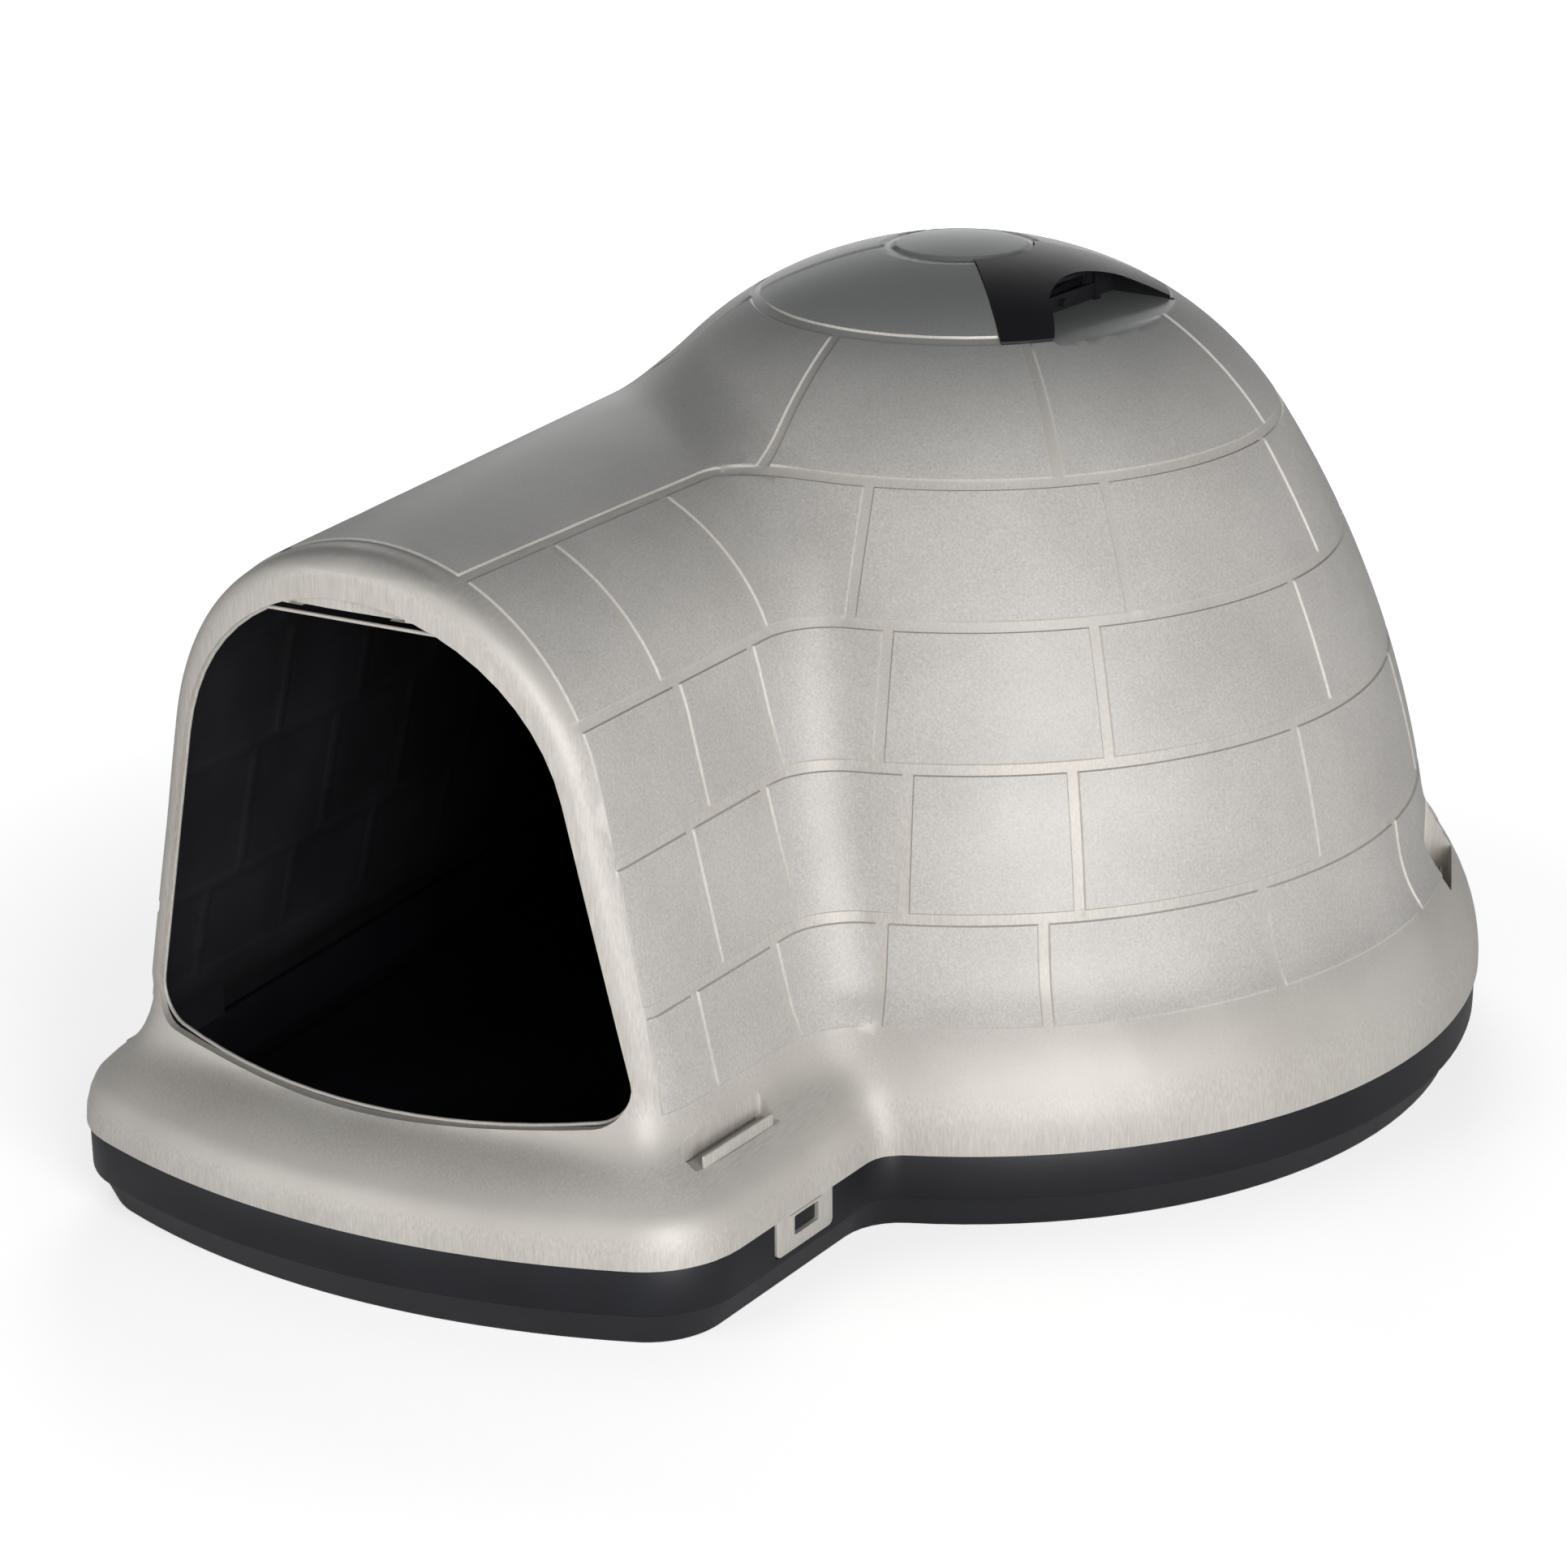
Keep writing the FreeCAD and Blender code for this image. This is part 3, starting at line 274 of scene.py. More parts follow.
def quadratic(start, pole, end, steps):
    """Points of a quadratic curve, the last one left out."""
    shares = [index / steps for index in range(steps)]
    return [start * (1 - t) ** 2 + pole * 2 * t * (1 - t) + end * t ** 2 for t in shares]


def meeting(start, start_slope, end, end_slope):
    """Where two tangents of the profile meet, for slopes in degrees below the level."""
    first = Vector((math.cos(math.radians(start_slope)), -math.sin(math.radians(start_slope))))
    second = Vector((math.cos(math.radians(end_slope)), -math.sin(math.radians(end_slope))))
    span = end - start
    return start + first * (span.cross(second) / first.cross(second))


def dome_profile(arc_steps=24, roll_steps=12):
    """Radius and height of the dome's skin, from its apex down past the seam."""
    points = []
    slope = 0.0
    point = Vector((0, APEX))
    for radius, end_slope in DOME_ARCS:
        start_angle, end_angle = math.radians(slope), math.radians(end_slope)
        centre = point - Vector((math.sin(start_angle), math.cos(start_angle))) * radius
        for index in range(arc_steps):
            angle = start_angle + (end_angle - start_angle) * index / arc_steps
            points.append(centre + Vector((math.sin(angle), math.cos(angle))) * radius)
        point = centre + Vector((math.sin(end_angle), math.cos(end_angle))) * radius
        slope = end_slope
    turn_point = Vector(SKIRT_BEND[:2])
    seam = Vector((SKIRT_RADIUS, SEAM))
    upper_pole = meeting(point, slope, turn_point, SKIRT_BEND[2])
    lower_pole = meeting(turn_point, SKIRT_BEND[2], seam, 90)
    points += quadratic(point, upper_pole, turn_point, roll_steps)
    points += quadratic(turn_point, lower_pole, seam, roll_steps)
    return points + [seam, Vector((SKIRT_RADIUS, BELOW))]


def signed_distance(line, across, height):
    """Distance of points to a line of points, positive on the outer side of it."""
    line = np.array([tuple(point)[:2] for point in line])
    starts, spans = line[:-1], np.diff(line, axis=0)
    lengths = (spans ** 2).sum(1)
    result = np.empty(len(across))
    for begin in range(0, len(across), 4000):
        part = slice(begin, begin + 4000)
        to_x = across[part, None] - starts[None, :, 0]
        to_y = height[part, None] - starts[None, :, 1]
        share = np.clip((to_x * spans[:, 0] + to_y * spans[:, 1]) / lengths, 0, 1)
        gap_x, gap_y = to_x - share * spans[:, 0], to_y - share * spans[:, 1]
        gaps = gap_x ** 2 + gap_y ** 2
        nearest = gaps.argmin(1)
        rows = np.arange(len(nearest))
        side = spans[nearest, 0] * gap_y[rows, nearest] - spans[nearest, 1] * gap_x[rows, nearest]
        result[part] = np.sqrt(gaps[rows, nearest]) * np.sign(side)
    return result


PROFILE = dome_profile()
OUTLINE = keyhole(0)
SKIRT_ROLL = [Vector((0, BELOW))] + [
    Vector((PORCH_SKIRT * (1 - math.cos(angle)), SEAM + PORCH_SKIRT * math.sin(angle)))
    for angle in [math.radians(6 * index) for index in range(16)]
] + [Vector((ROLL_REACH, SEAM + PORCH_SKIRT))]


def dome_distance(points):
    """Distance to the dome, points as rows."""
    radius = np.hypot(points[:, 0], points[:, 1] - DOME_Y)
    return signed_distance(PROFILE, radius, points[:, 2])


def skirt_distance(points):
    """Distance to the rolled skirt round the keyhole outline."""
    inward = signed_distance(OUTLINE + OUTLINE[:1], points[:, 0], points[:, 1])
    return signed_distance(SKIRT_ROLL, -inward, points[:, 2])


def porch_distance(points):
    """Distance to the porch tunnel, cut off by its bowed front."""
    x, y, z = points.T
    share = np.clip((y - DOME_Y) / (PORCH_STATION - DOME_Y), 0, 1)
    sizes = {name: rear + (PORCH_FRONT[name] - rear) * share for name, rear in PORCH_REAR.items()}
    on_right = x > sizes["centre"]
    width = np.where(on_right, sizes["right"], sizes["left"])
    lean = np.where(on_right, sizes["right_lean"], sizes["left_lean"])
    across, rise, height = np.abs(x - sizes["centre"]), sizes["rise"], z - sizes["spring"]
    touch = np.arctan(lean * rise / width)
    touch_x, touch_z = width * np.cos(touch), rise * np.sin(touch)
    tilt = np.arctan(lean)
    wall = (across - touch_x) * np.cos(tilt) + (height - touch_z) * np.sin(tilt)
    level = np.sqrt((across / width) ** 2 + (height / rise) ** 2) + 1e-9
    growth = np.sqrt((across / width ** 2) ** 2 + (height / rise ** 2) ** 2 + 1e-9)
    arch = (level - 1) * level / growth
    above = (height - touch_z) * np.cos(tilt) - (across - touch_x) * np.sin(tilt) > 0
    tunnel = np.where(above, arch, wall)
    back = y - (z - SEAM - PORCH_SKIRT) * NOSE_LEAN
    nose = np.hypot(x - FRONT_CENTRE.x, back - FRONT_CENTRE.y) - NOSE_RADIUS
    nose = np.where(y > 0, -1.0, nose)
    rounded = -rounded_union(-tunnel, -nose, NOSE_FILLET)
    return np.maximum(np.maximum(rounded, PORCH_FOOT - z), y - DOME_Y)


def rounded_union(first, second, radius):
    """Distance to two forms together, with a fillet of a radius where they meet."""
    nearer = np.maximum(radius, np.minimum(first, second))
    return nearer - np.hypot(np.maximum(radius - first, 0), np.maximum(radius - second, 0))


def slope_of(form, points, step=0.5 * MM):
    """Direction in which a form's distance grows fastest."""
    rises = [form(points + offset) - form(points - offset) for offset in np.eye(3) * step]
    slope = np.stack(rises, 1) / (2 * step)
    return slope / (np.linalg.norm(slope, axis=1)[:, None] + 1e-9)


def settle(points, rounds=4, inset=0.0):
    """Moves points on to the shell's skin, or on to a surface parallel to it."""
    facing = {form: slope_of(form, points)
              for form in (dome_distance, porch_distance, skirt_distance)}
    bend = np.linalg.norm(np.cross(facing[dome_distance], facing[porch_distance]), axis=1)
    on_dome = dome_distance(points) < porch_distance(points)
    body = np.where(on_dome[:, None], facing[dome_distance], facing[porch_distance])
    crease = np.linalg.norm(np.cross(body, facing[skirt_distance]), axis=1)

    def skin(places):
        dome, porch, skirt = dome_distance(places), porch_distance(places), skirt_distance(places)
        upper = rounded_union(dome, porch, VALLEY_FILLET * bend + 1e-6)
        return rounded_union(upper, skirt, CREASE_FILLET * crease + 1e-6) + inset

    for _ in range(rounds):
        points = points - slope_of(skin, points) * skin(points)[:, None]
    return points


def solid_object(bm, name):
    """Object made from a bmesh, linked to the scene."""
    mesh = bpy.data.meshes.new(name)
    bm.to_mesh(mesh)
    bm.free()
    made = bpy.data.objects.new(name, mesh)
    bpy.context.scene.collection.objects.link(made)
    return made


def applied(made):
    """The object with its modifiers applied."""
    graph = bpy.context.evaluated_depsgraph_get()
    mesh = bpy.data.meshes.new_from_object(made.evaluated_get(graph))
    made.modifiers.clear()
    old = made.data
    made.data = mesh
    bpy.data.meshes.remove(old)
    return made


def extruded(bm, points, shift):
    """Adds a prism over a flat outline and returns the verts of its far end."""
    face = bm.faces.new([bm.verts.new(point) for point in points])
    grown = bmesh.ops.extrude_face_region(bm, geom=[face])["geom"]
    far = [item for item in grown if isinstance(item, bmesh.types.BMVert)]
    bmesh.ops.translate(bm, verts=far, vec=shift)
    return far


def rough_moulding():
    """Dome, porch and skirt as overlapping closed forms, still without their fillets."""
    bm = bmesh.new()
    apex, *below = [Vector((point.x, DOME_Y, point.y)) for point in PROFILE]
    line = [bm.verts.new(point) for point in [apex] + below]
    line.append(bm.verts.new((0, DOME_Y, below[-1].z)))
    edges = [bm.edges.new(pair) for pair in zip(line, line[1:])]
    bmesh.ops.spin(bm, geom=line + edges, cent=AXIS, axis=(0, 0, 1), angle=2 * math.pi,
                   steps=120, use_merge=True)
    bmesh.ops.remove_doubles(bm, verts=bm.verts, dist=0.1 * MM)
    foot = [point - Vector((0, 0, ROUGH_DEPTH)) for point in keyhole(ROUGH_INSET)]
    extruded(bm, foot, (0, 0, SEAM + PORCH_SKIRT - ROUGH_INSET + ROUGH_DEPTH))
    angles = [math.radians(6 * index) for index in range(31)]
    rings = []
    for sizes, y in ((PORCH_REAR, DOME_Y), (PORCH_FRONT, PORCH_STATION - ROUGH_NOSE)):
        section = []
        for angle in angles:
            reach = sizes["right"] if math.cos(angle) > 0 else sizes["left"]
            section.append(Vector((sizes["centre"] + reach * math.cos(angle), y,
                                   sizes["spring"] + sizes["rise"] * math.sin(angle))))
        for side, name in ((-1, "left"), (1, "right")):
            drop = sizes["spring"] - PORCH_FOOT
            reach = sizes[name] + drop * sizes[name + "_lean"]
            section.append(Vector((sizes["centre"] + side * reach, y, PORCH_FOOT)))
        rings.append([bm.verts.new(point) for point in section])
    loops = [[bm.edges.new(pair) for pair in zip(ring, ring[1:] + ring[:1])] for ring in rings]
    bmesh.ops.bridge_loops(bm, edges=loops[0] + loops[1])
    for ring in rings:
        bm.faces.new(ring)
    bmesh.ops.recalc_face_normals(bm, faces=bm.faces)
    return solid_object(bm, "shell_moulding")


SKIN_GRID = 0.010
SKIN_DEPTH = 0.04
# where the porch's walls run out softly into its skirt
FOOT_BACK = -0.17
FOOT_LOW = 0.100
FOOT_HIGH = 0.170
FOOT_ROUNDS = 14


def smooth_moulding(inset=0.0):
    """The closed skin with all its fillets, or one parallel to it, as an even net."""
    made = rough_moulding()
    net = made.modifiers.new("net", "REMESH")
    net.mode = "VOXEL"
    net.voxel_size = SKIN_GRID
    made = applied(made)
    count = len(made.data.vertices)
    places = np.empty(count * 3)
    made.data.vertices.foreach_get("co", places)
    places = places.reshape(-1, 3)
    kept = places[:, 2] > SEAM - SKIN_DEPTH
    places[kept] = settle(places[kept], inset=inset)
    made.data.vertices.foreach_set("co", places.ravel())
    bm = bmesh.new()
    bm.from_mesh(made.data)
    foot = [vert for vert in bm.verts
            if vert.co.y < FOOT_BACK and FOOT_LOW < vert.co.z < FOOT_HIGH]
    for _ in range(FOOT_ROUNDS):
        bmesh.ops.smooth_vert(bm, verts=foot, factor=0.5,
                              use_axis_x=True, use_axis_y=True, use_axis_z=True)
    bm.to_mesh(made.data)
    bm.free()
    return made


# ---------------------------------------------------------------- shell moulding: its finish
# Moulded structural polyethylene foam in pearl grey: mica flake in it makes short streaks
# where the mould is smooth, and the blocks have a spark-eroded grain that scatters light.
FLAKE = 1.2 * MM
STREAK_STRETCH = 0.055
GRAIN = 1.9 * MM
GRAIN_DEPTH = 0.25 * MM
MOTTLE = 90 * MM
CLOUD_SHARE = 0.22
CLOUD_RANGE = (0.35, 0.65)
# painted shade on faces that look up: its colour, its strength on the crown and on the porch roof,
# and the heights over which it grows from one to the other
PAINTED_SHADE_COLOUR = "6F7677"
CROWN_PAINTED_SHADE = 0.9
ROOF_PAINTED_SHADE = 0.25
PAINTED_SHADE_RISE = (0.50, 0.62)
# how far a face has to look up before its streaks lie along the roof, and their direction
ROOF_FACING = (0.35, 0.75)
ROOF_GRAIN = math.radians(55)


def noise(tree, place, size, detail, roughness=0.5):
    """Output of a noise whose patches have about this size."""
    return add_node(tree, "ShaderNodeTexNoise", {
        "Vector": place, "Scale": 1 / size, "Detail": detail, "Roughness": roughness}).outputs[0]


def tinted(tree, share, first, second):
    """Output of a mix of two colours."""
    return add_node(tree, "ShaderNodeMix", {0: share, 6: first, 7: second},
                    data_type="RGBA").outputs[2]


def pearl_foam(name, light, dark, grain, streak, roughness):
    """Pearl-grey foam with painted shade on faces that look up. grain and streak say how strongly
    each of the two marks shows.
    """
    material, tree, output = new_material(name)
    place = add_node(tree, "ShaderNodeTexCoord").outputs["Object"]
    upright = add_node(tree, "ShaderNodeMapping", {
        "Vector": place, "Scale": (1, 1, STREAK_STRETCH)})
    lying = add_node(tree, "ShaderNodeMapping", {
        "Vector": place, "Rotation": (0, 0, ROOF_GRAIN), "Scale": (1, STREAK_STRETCH, 1)})
    normal = add_node(tree, "ShaderNodeNewGeometry").outputs["Normal"]
    facing = add_node(tree, "ShaderNodeSeparateXYZ", {"Vector": normal}).outputs["Z"]
    drawn = add_node(tree, "ShaderNodeMix", {
        0: ranged(tree, facing, ROOF_FACING), 4: upright.outputs[0], 5: lying.outputs[0],
    }, data_type="VECTOR").outputs[1]
    flake = noise(tree, drawn, FLAKE, 3.0, 0.6)
    speck = noise(tree, place, GRAIN, 3.0, 0.65)
    marks = add_node(tree, "ShaderNodeMix", {0: streak, 2: speck, 3: flake}).outputs[0]
    spread = ranged(tree, marks, (0.28, 0.72))
    cloudy = ranged(tree, noise(tree, place, MOTTLE, 3.0), CLOUD_RANGE)
    tone = add_node(tree, "ShaderNodeMix", {0: CLOUD_SHARE, 2: spread, 3: cloudy}).outputs[0]
    colour = tinted(tree, tone, linear(dark), linear(light))
    # painted shade: faces that look up are painted a cooler, darker grey, most of all on the crown,
    # where the light from overhead is dim
    height = add_node(tree, "ShaderNodeSeparateXYZ", {"Vector": place}).outputs["Z"]
    depth = ranged(tree, height, PAINTED_SHADE_RISE, (ROOF_PAINTED_SHADE, CROWN_PAINTED_SHADE))
    upward = ranged(tree, facing, (0.5, 1), (0, depth))
    with_painted_shade = tinted(tree, upward, colour, linear(PAINTED_SHADE_COLOUR))
    gloss = ranged(tree, spread, (0, 1), (roughness - 0.06, roughness + 0.08))
    bump = add_node(tree, "ShaderNodeBump", {
        "Height": marks, "Strength": grain, "Distance": GRAIN_DEPTH})
    coat = add_node(tree, "ShaderNodeBsdfPrincipled", {
        "Base Color": with_painted_shade, "Roughness": gloss, "Metallic": 0.18, "IOR": 1.5,
        "Normal": bump.outputs[0]})
    tree.links.new(coat.outputs[0], output.inputs["Surface"])
    return material


def dark_moulding(name, light, dark, roughness):
    """Dark polyolefin moulded with a fine satin grain: soft sheen, faint cloudiness."""
    material, tree, output = new_material(name)
    place = add_node(tree, "ShaderNodeTexCoord").outputs["Object"]
    fine = noise(tree, place, GRAIN, 2.0)
    cloudy = ranged(tree, noise(tree, place, MOTTLE, 4.0), CLOUD_RANGE)
    colour = tinted(tree, cloudy, linear(dark), linear(light))
    gloss = ranged(tree, fine, (0, 1), (roughness - 0.05, roughness + 0.05))
    bump = add_node(tree, "ShaderNodeBump", {
        "Height": fine, "Strength": 0.25, "Distance": GRAIN_DEPTH})
    coat = add_node(tree, "ShaderNodeBsdfPrincipled", {
        "Base Color": colour, "Roughness": gloss, "Normal": bump.outputs[0]})
    tree.links.new(coat.outputs[0], output.inputs["Surface"])
    return material


smooth_skin = pearl_foam("smooth_pearl_foam", "DDD8D1", "B8B2AB", 0.10, 0.85, 0.50)
block_skin = pearl_foam("grained_pearl_foam", "DEDAD5", "B2AEA9", 0.60, 0.15, 0.56)
# the shell's inner face, its linings and the vent pocket's back wall get this near-black colour
inner_skin = dark_moulding("dark_inner_skin", "1E1D22", "111014", 0.62)
SHELL_SKINS = (smooth_skin, block_skin, inner_skin)
INNER = SHELL_SKINS.index(inner_skin)


# ---------------------------------------------------------------- shell moulding: its blocks
# Courses of raised blocks copy cut snow. Between them run sunk joints with a flat floor and
# soft shoulders, straight round dome and porch at five heights and upright in each course.
RELIEF = 1.5 * MM
INNER_SHARE = 0.4
WALL = 6 * MM
JOINT_HALF = 3.7 * MM
JOINT_SHOULDER = 1.2 * MM
JOINT_NEAR = 0.016
CUT_MERGE = 0.15 * MM
TRIM_MERGE = 0.05 * MM
BLOCK_SHARE = 0.4
UP = Vector((0, 0, 1))
BACK = Vector((0, 1, 0))
RING_A, RING_B, RING_C, RING_D, RING_E = 0.6085, 0.5238, 0.4315, 0.3352, 0.2289
# how steep the dome is at each of those heights, and the porch roof at the second
RING_SLOPES = {RING_A: 0.52, RING_B: 0.77, RING_C: 0.88, RING_D: 0.95, RING_E: 0.98}
ROOF_SLOPE = 0.42
BLOCK_FOOT = 0.154
BLOCK_FRONT = DOME_Y - 0.586
PORCH_LEFT = -0.26
CROWN_DISC = 0.0575
CROWN_JOINTS = (-152.0, 136.0)
VENT_AZIMUTH = -8.0
HOOD_SIDES = (-53.5, 37.5)
# upper edge, lower edge, first joint's azimuth, joints all round, joint beside the porch
DOME_COURSES = (
    (RING_A, RING_B, -98.5, 7, None),
    (RING_B, RING_C, -39.3, 9, -79.1),
    (RING_C, RING_D, -45.2, 10, -73.6),
    (RING_D, RING_E, -50.0, 11, -69.9),
    (RING_E, BLOCK_FOOT, -54.2, 13, -72.2),
)
# upper edge, lower edge, first joint's distance in front of the dome's axis, spacing
PORCH_COURSES = (
    (RING_B, RING_C, 0.489, 0.139),
    (RING_C, RING_D, 0.471, 0.097),
    (RING_D, RING_E, 0.496, 0.097),
    (RING_E, BLOCK_FOOT, 0.532, 0.102),
)


def dome_joints():
    """Each upright joint of the dome: azimuth and the heights between which it runs."""
    joints = [(azimuth, 1.0, RING_A) for azimuth in CROWN_JOINTS]
    for high, low, first, count, beside in DOME_COURSES:
        turns = [(first + 360 / count * index + 180) % 360 - 180 for index in range(count)]
        if beside is not None:
            turns = [turn for turn in turns if not -165 < turn < -75] + [beside]
        joints += [(turn, high, low) for turn in turns]
    return joints


def porch_joints():
    """Each upright joint of the porch: its y, heights, and whether it is on both sides."""
    joints = []
    for high, low, first, spacing in PORCH_COURSES:
        for index in range(int(first / spacing) + 1):
            joints.append((DOME_Y - first + spacing * index, high, low, index < 2))
    return joints


def scored(bm, chosen, place, normal, reaches):
    """Cuts the chosen faces along a joint's floor and shoulders, at these distances."""
    faces = [face for face in bm.faces if chosen(face.calc_center_median())]
    geom = faces + list({edge for face in faces for edge in face.edges})
    geom += list({vert for face in faces for vert in face.verts})
    for reach in reaches:
        geom = bmesh.ops.bisect_plane(bm, geom=geom, dist=CUT_MERGE, plane_no=normal,
                                      plane_co=place + normal * reach)["geom"]


def joint_reaches(scale=1.0):
    """Distances of a joint's four lines from its middle."""
    outer = JOINT_HALF + JOINT_SHOULDER
    return [reach * scale for reach in (-outer, -JOINT_HALF, JOINT_HALF, outer)]


def score_joints(bm):
    """Cuts the net along every joint, so that the blocks get straight edges."""
    near = JOINT_NEAR
    crown = [face for face in bm.faces if face.calc_center_median().z > RING_A
             and crown_radius(face.calc_center_median()) < CROWN_DISC + near]
    bmesh.ops.subdivide_edges(bm, edges=list({edge for face in crown for edge in face.edges}),
                              cuts=3, use_grid_fill=True)
    for ring, slope in RING_SLOPES.items():
        for scale in {slope, ROOF_SLOPE if ring == RING_B else slope}:
            scored(bm, lambda c: abs(c.z - ring) < near, UP * ring, UP, joint_reaches(scale))
    for azimuth in HOOD_SIDES:
        normal = side_of(azimuth)
        scored(bm, lambda c: c.z > RING_A - near and abs((c - AXIS).dot(normal)) < near
               and normal.cross(c - AXIS).z < 0, AXIS, normal, (-JOINT_SHOULDER, 0, JOINT_SHOULDER))
    for azimuth, high, low in dome_joints():
        normal = side_of(azimuth)
        scored(bm, lambda c: low < c.z < high and abs((c - AXIS).dot(normal)) < near
               and normal.cross(c - AXIS).z < -CROWN_DISC, AXIS, normal, joint_reaches())
    for y, high, low, both in porch_joints():
        scored(bm, lambda c: low < c.z < high and abs(c.y - y) < near
               and (c.x < PORCH_LEFT or (both and c.x > PORCH_X)), BACK * y, BACK, joint_reaches())
    scored(bm, lambda c: abs(c.y - BLOCK_FRONT) < near and c.z > BLOCK_FOOT - near,
           BACK * BLOCK_FRONT, BACK, (0, JOINT_SHOULDER))
    scored(bm, lambda c: abs(c.z - BLOCK_FOOT) < near, UP * BLOCK_FOOT, UP, (0, JOINT_SHOULDER))


def side_of(azimuth):
    """Level direction at right angles to an azimuth, to its left."""
    angle = math.radians(azimuth)
    return Vector((-math.sin(angle), math.cos(angle), 0))


def crown_radius(point):
    """Distance of a point from the dome's axis."""
    return math.hypot(point.x, point.y - DOME_Y)


def shoulder(distance, start=JOINT_HALF):
    """Rises from 0 on a joint's floor to 1 on the block."""
    return np.clip((distance - start) / JOINT_SHOULDER, 0, 1)


def block_height(points):
    """How far the skin stands proud at each point, from 0 in a joint to 1 on a block."""
    x, y, z = points.T
    radius = np.hypot(x, y - DOME_Y)
    gap = dome_distance(points) - porch_distance(points)
    on_dome = gap < 0
    on_porch = np.clip(gap / VALLEY_FILLET + 0.5, 0, 1)
    height = shoulder(z - BLOCK_FOOT, 0) * shoulder(y - BLOCK_FRONT, 0)
    for ring, slope in RING_SLOPES.items():
        slopes = slope + (ROOF_SLOPE - slope) * on_porch * (ring == RING_B)
        height *= shoulder(np.abs(z - ring) / slopes)
    height *= np.where(z > RING_A, shoulder(np.abs(radius - CROWN_DISC)), 1)
    for turn, high, low in dome_joints():
        angle = math.radians(turn)
        forth = x * math.cos(angle) + (y - DOME_Y) * math.sin(angle)
        aside = np.abs((y - DOME_Y) * math.cos(angle) - x * math.sin(angle))
        here = (z < high) & (z > low) & (forth > CROWN_DISC) & on_dome
        height *= np.where(here, shoulder(aside), 1)
    for place, high, low, both in porch_joints():
        here = (z < high) & (z > low) & ~on_dome & ((x < PORCH_X) | both)
        height *= np.where(here, shoulder(np.abs(y - place)), 1)
    spots = points - np.array(AXIS)
    before, after = [spots @ np.array(side_of(azimuth)) for azimuth in HOOD_SIDES]
    beside = np.maximum(-before, after)
    crown = (z > RING_A) & (radius > CROWN_DISC)
    return height * np.where(crown, shoulder(beside, 0), 1)


def blocked(made):
    """Trims the skin at the seam, gives it its wall and raises the blocks on its outside."""
    bm = bmesh.new()
    bm.from_mesh(made.data)
    bmesh.ops.bisect_plane(bm, geom=bm.faces[:] + bm.edges[:] + bm.verts[:], dist=TRIM_MERGE,
                           plane_co=UP * SEAM, plane_no=UP, clear_inner=True)
    score_joints(bm)
    places = np.array([vert.co for vert in bm.verts])
    upper = (places[:, 2] > FOOT_HIGH) | (places[:, 1] > FOOT_BACK) & (places[:, 2] > SEAM + MM)
    places[upper] = settle(places[upper], rounds=1)
    for vert, place in zip(bm.verts, places):
        vert.co = place
    bm.normal_update()
    bm.verts.index_update()
    normals = np.array([vert.normal for vert in bm.verts])
    heights = block_height(places)
    for face in bm.faces:
        face.material_index = int(min(heights[vert.index] for vert in face.verts) > BLOCK_SHARE)
        face.smooth = True
    bm.to_mesh(made.data)
    bm.free()
    for material in SHELL_SKINS:
        made.data.materials.append(material)
    wall = made.modifiers.new("wall", "SOLIDIFY")
    wall.thickness = WALL
    wall.offset = -1
    wall.material_offset = INNER
    made = applied(made)
    both = np.empty(len(made.data.vertices) * 3)
    made.data.vertices.foreach_get("co", both)
    both = both.reshape(2, -1, 3)
    both[0] += normals * heights[:, None] * RELIEF
    both[1] += normals * heights[:, None] * RELIEF * INNER_SHARE
    made.data.vertices.foreach_set("co", both.ravel())
    return made


# ---------------------------------------------------------------- shell moulding: openings
# The doorway is trimmed out of the bowed front, under a flat lintel. The roof has a sunk
# pocket for the vent with a window at its back, and the skirt has a finger notch over each
# latch, with a slot and an upright tongue. Pocket and notches have a thin lining behind.
DOOR_ARCH = 0.1625
DOOR_SPRING = 0.346
DOOR_LEAN = math.radians(12.4)
SILL = 0.125
SILL_RADIUS = 1.160
SILL_DROP = 0.02
SILL_TURN = 0.16
DOOR_CORNER = 0.028
DOOR_CUT = -0.70
DOOR_CUT_LENGTH = 0.28
LINTEL = 0.4995
LINTEL_CUT = -0.60
LINTEL_DEPTH = 4 * MM
BEAD = 1.5 * MM
VENT_FLOOR = 0.606
VENT_BACK = 0.088
VENT_HALF = 0.086
VENT_LINING = 4 * MM
VENT_REACH = 0.30
ROOF_TOP = 0.70
WINDOW_HALF = 0.042
WINDOW_HEIGHTS = (0.618, 0.628)
NOTCH_STATION = 0.543
REAR_NOTCH = 19.04
NOTCH_HALF = 0.050
NOTCH_DEPTH = 0.024
NOTCH_LINING = 3 * MM
NOTCH_TOP = 0.210
NOTCH_ABOVE = 0.015
NOTCH_ROUND = 2 * MM
UPRIGHT = 0.3
TONGUE_HALF = 0.042
TONGUE = 2.5 * MM
TONGUE_RISE = 9 * MM
TONGUE_ROUND = 0.8 * MM
SHARP = math.radians(35)


def standing(point, azimuth):
    """Transform to a place whose x axis points along an azimuth in degrees."""
    return Matrix.Translation(point) @ Matrix.Rotation(math.radians(azimuth), 4, "Z")


def box(bm, place, depth, width, height, rounding=0.0):
    """Adds a box over ranges of depth, width and height at a place, with rounded edges."""
    size = [high - low for low, high in (depth, width, height)]
    centre = Vector([(low + high) / 2 for low, high in (depth, width, height)])
    form = place @ Matrix.Translation(centre) @ Matrix.Diagonal((*size, 1))
    verts = bmesh.ops.create_cube(bm, size=1, matrix=form)["verts"]
    if rounding:
        edges = list({edge for vert in verts for edge in vert.link_edges})
        bmesh.ops.bevel(bm, geom=edges, offset=rounding, offset_type="OFFSET", affect="EDGES",
                        segments=3, profile=0.5, material=-1)


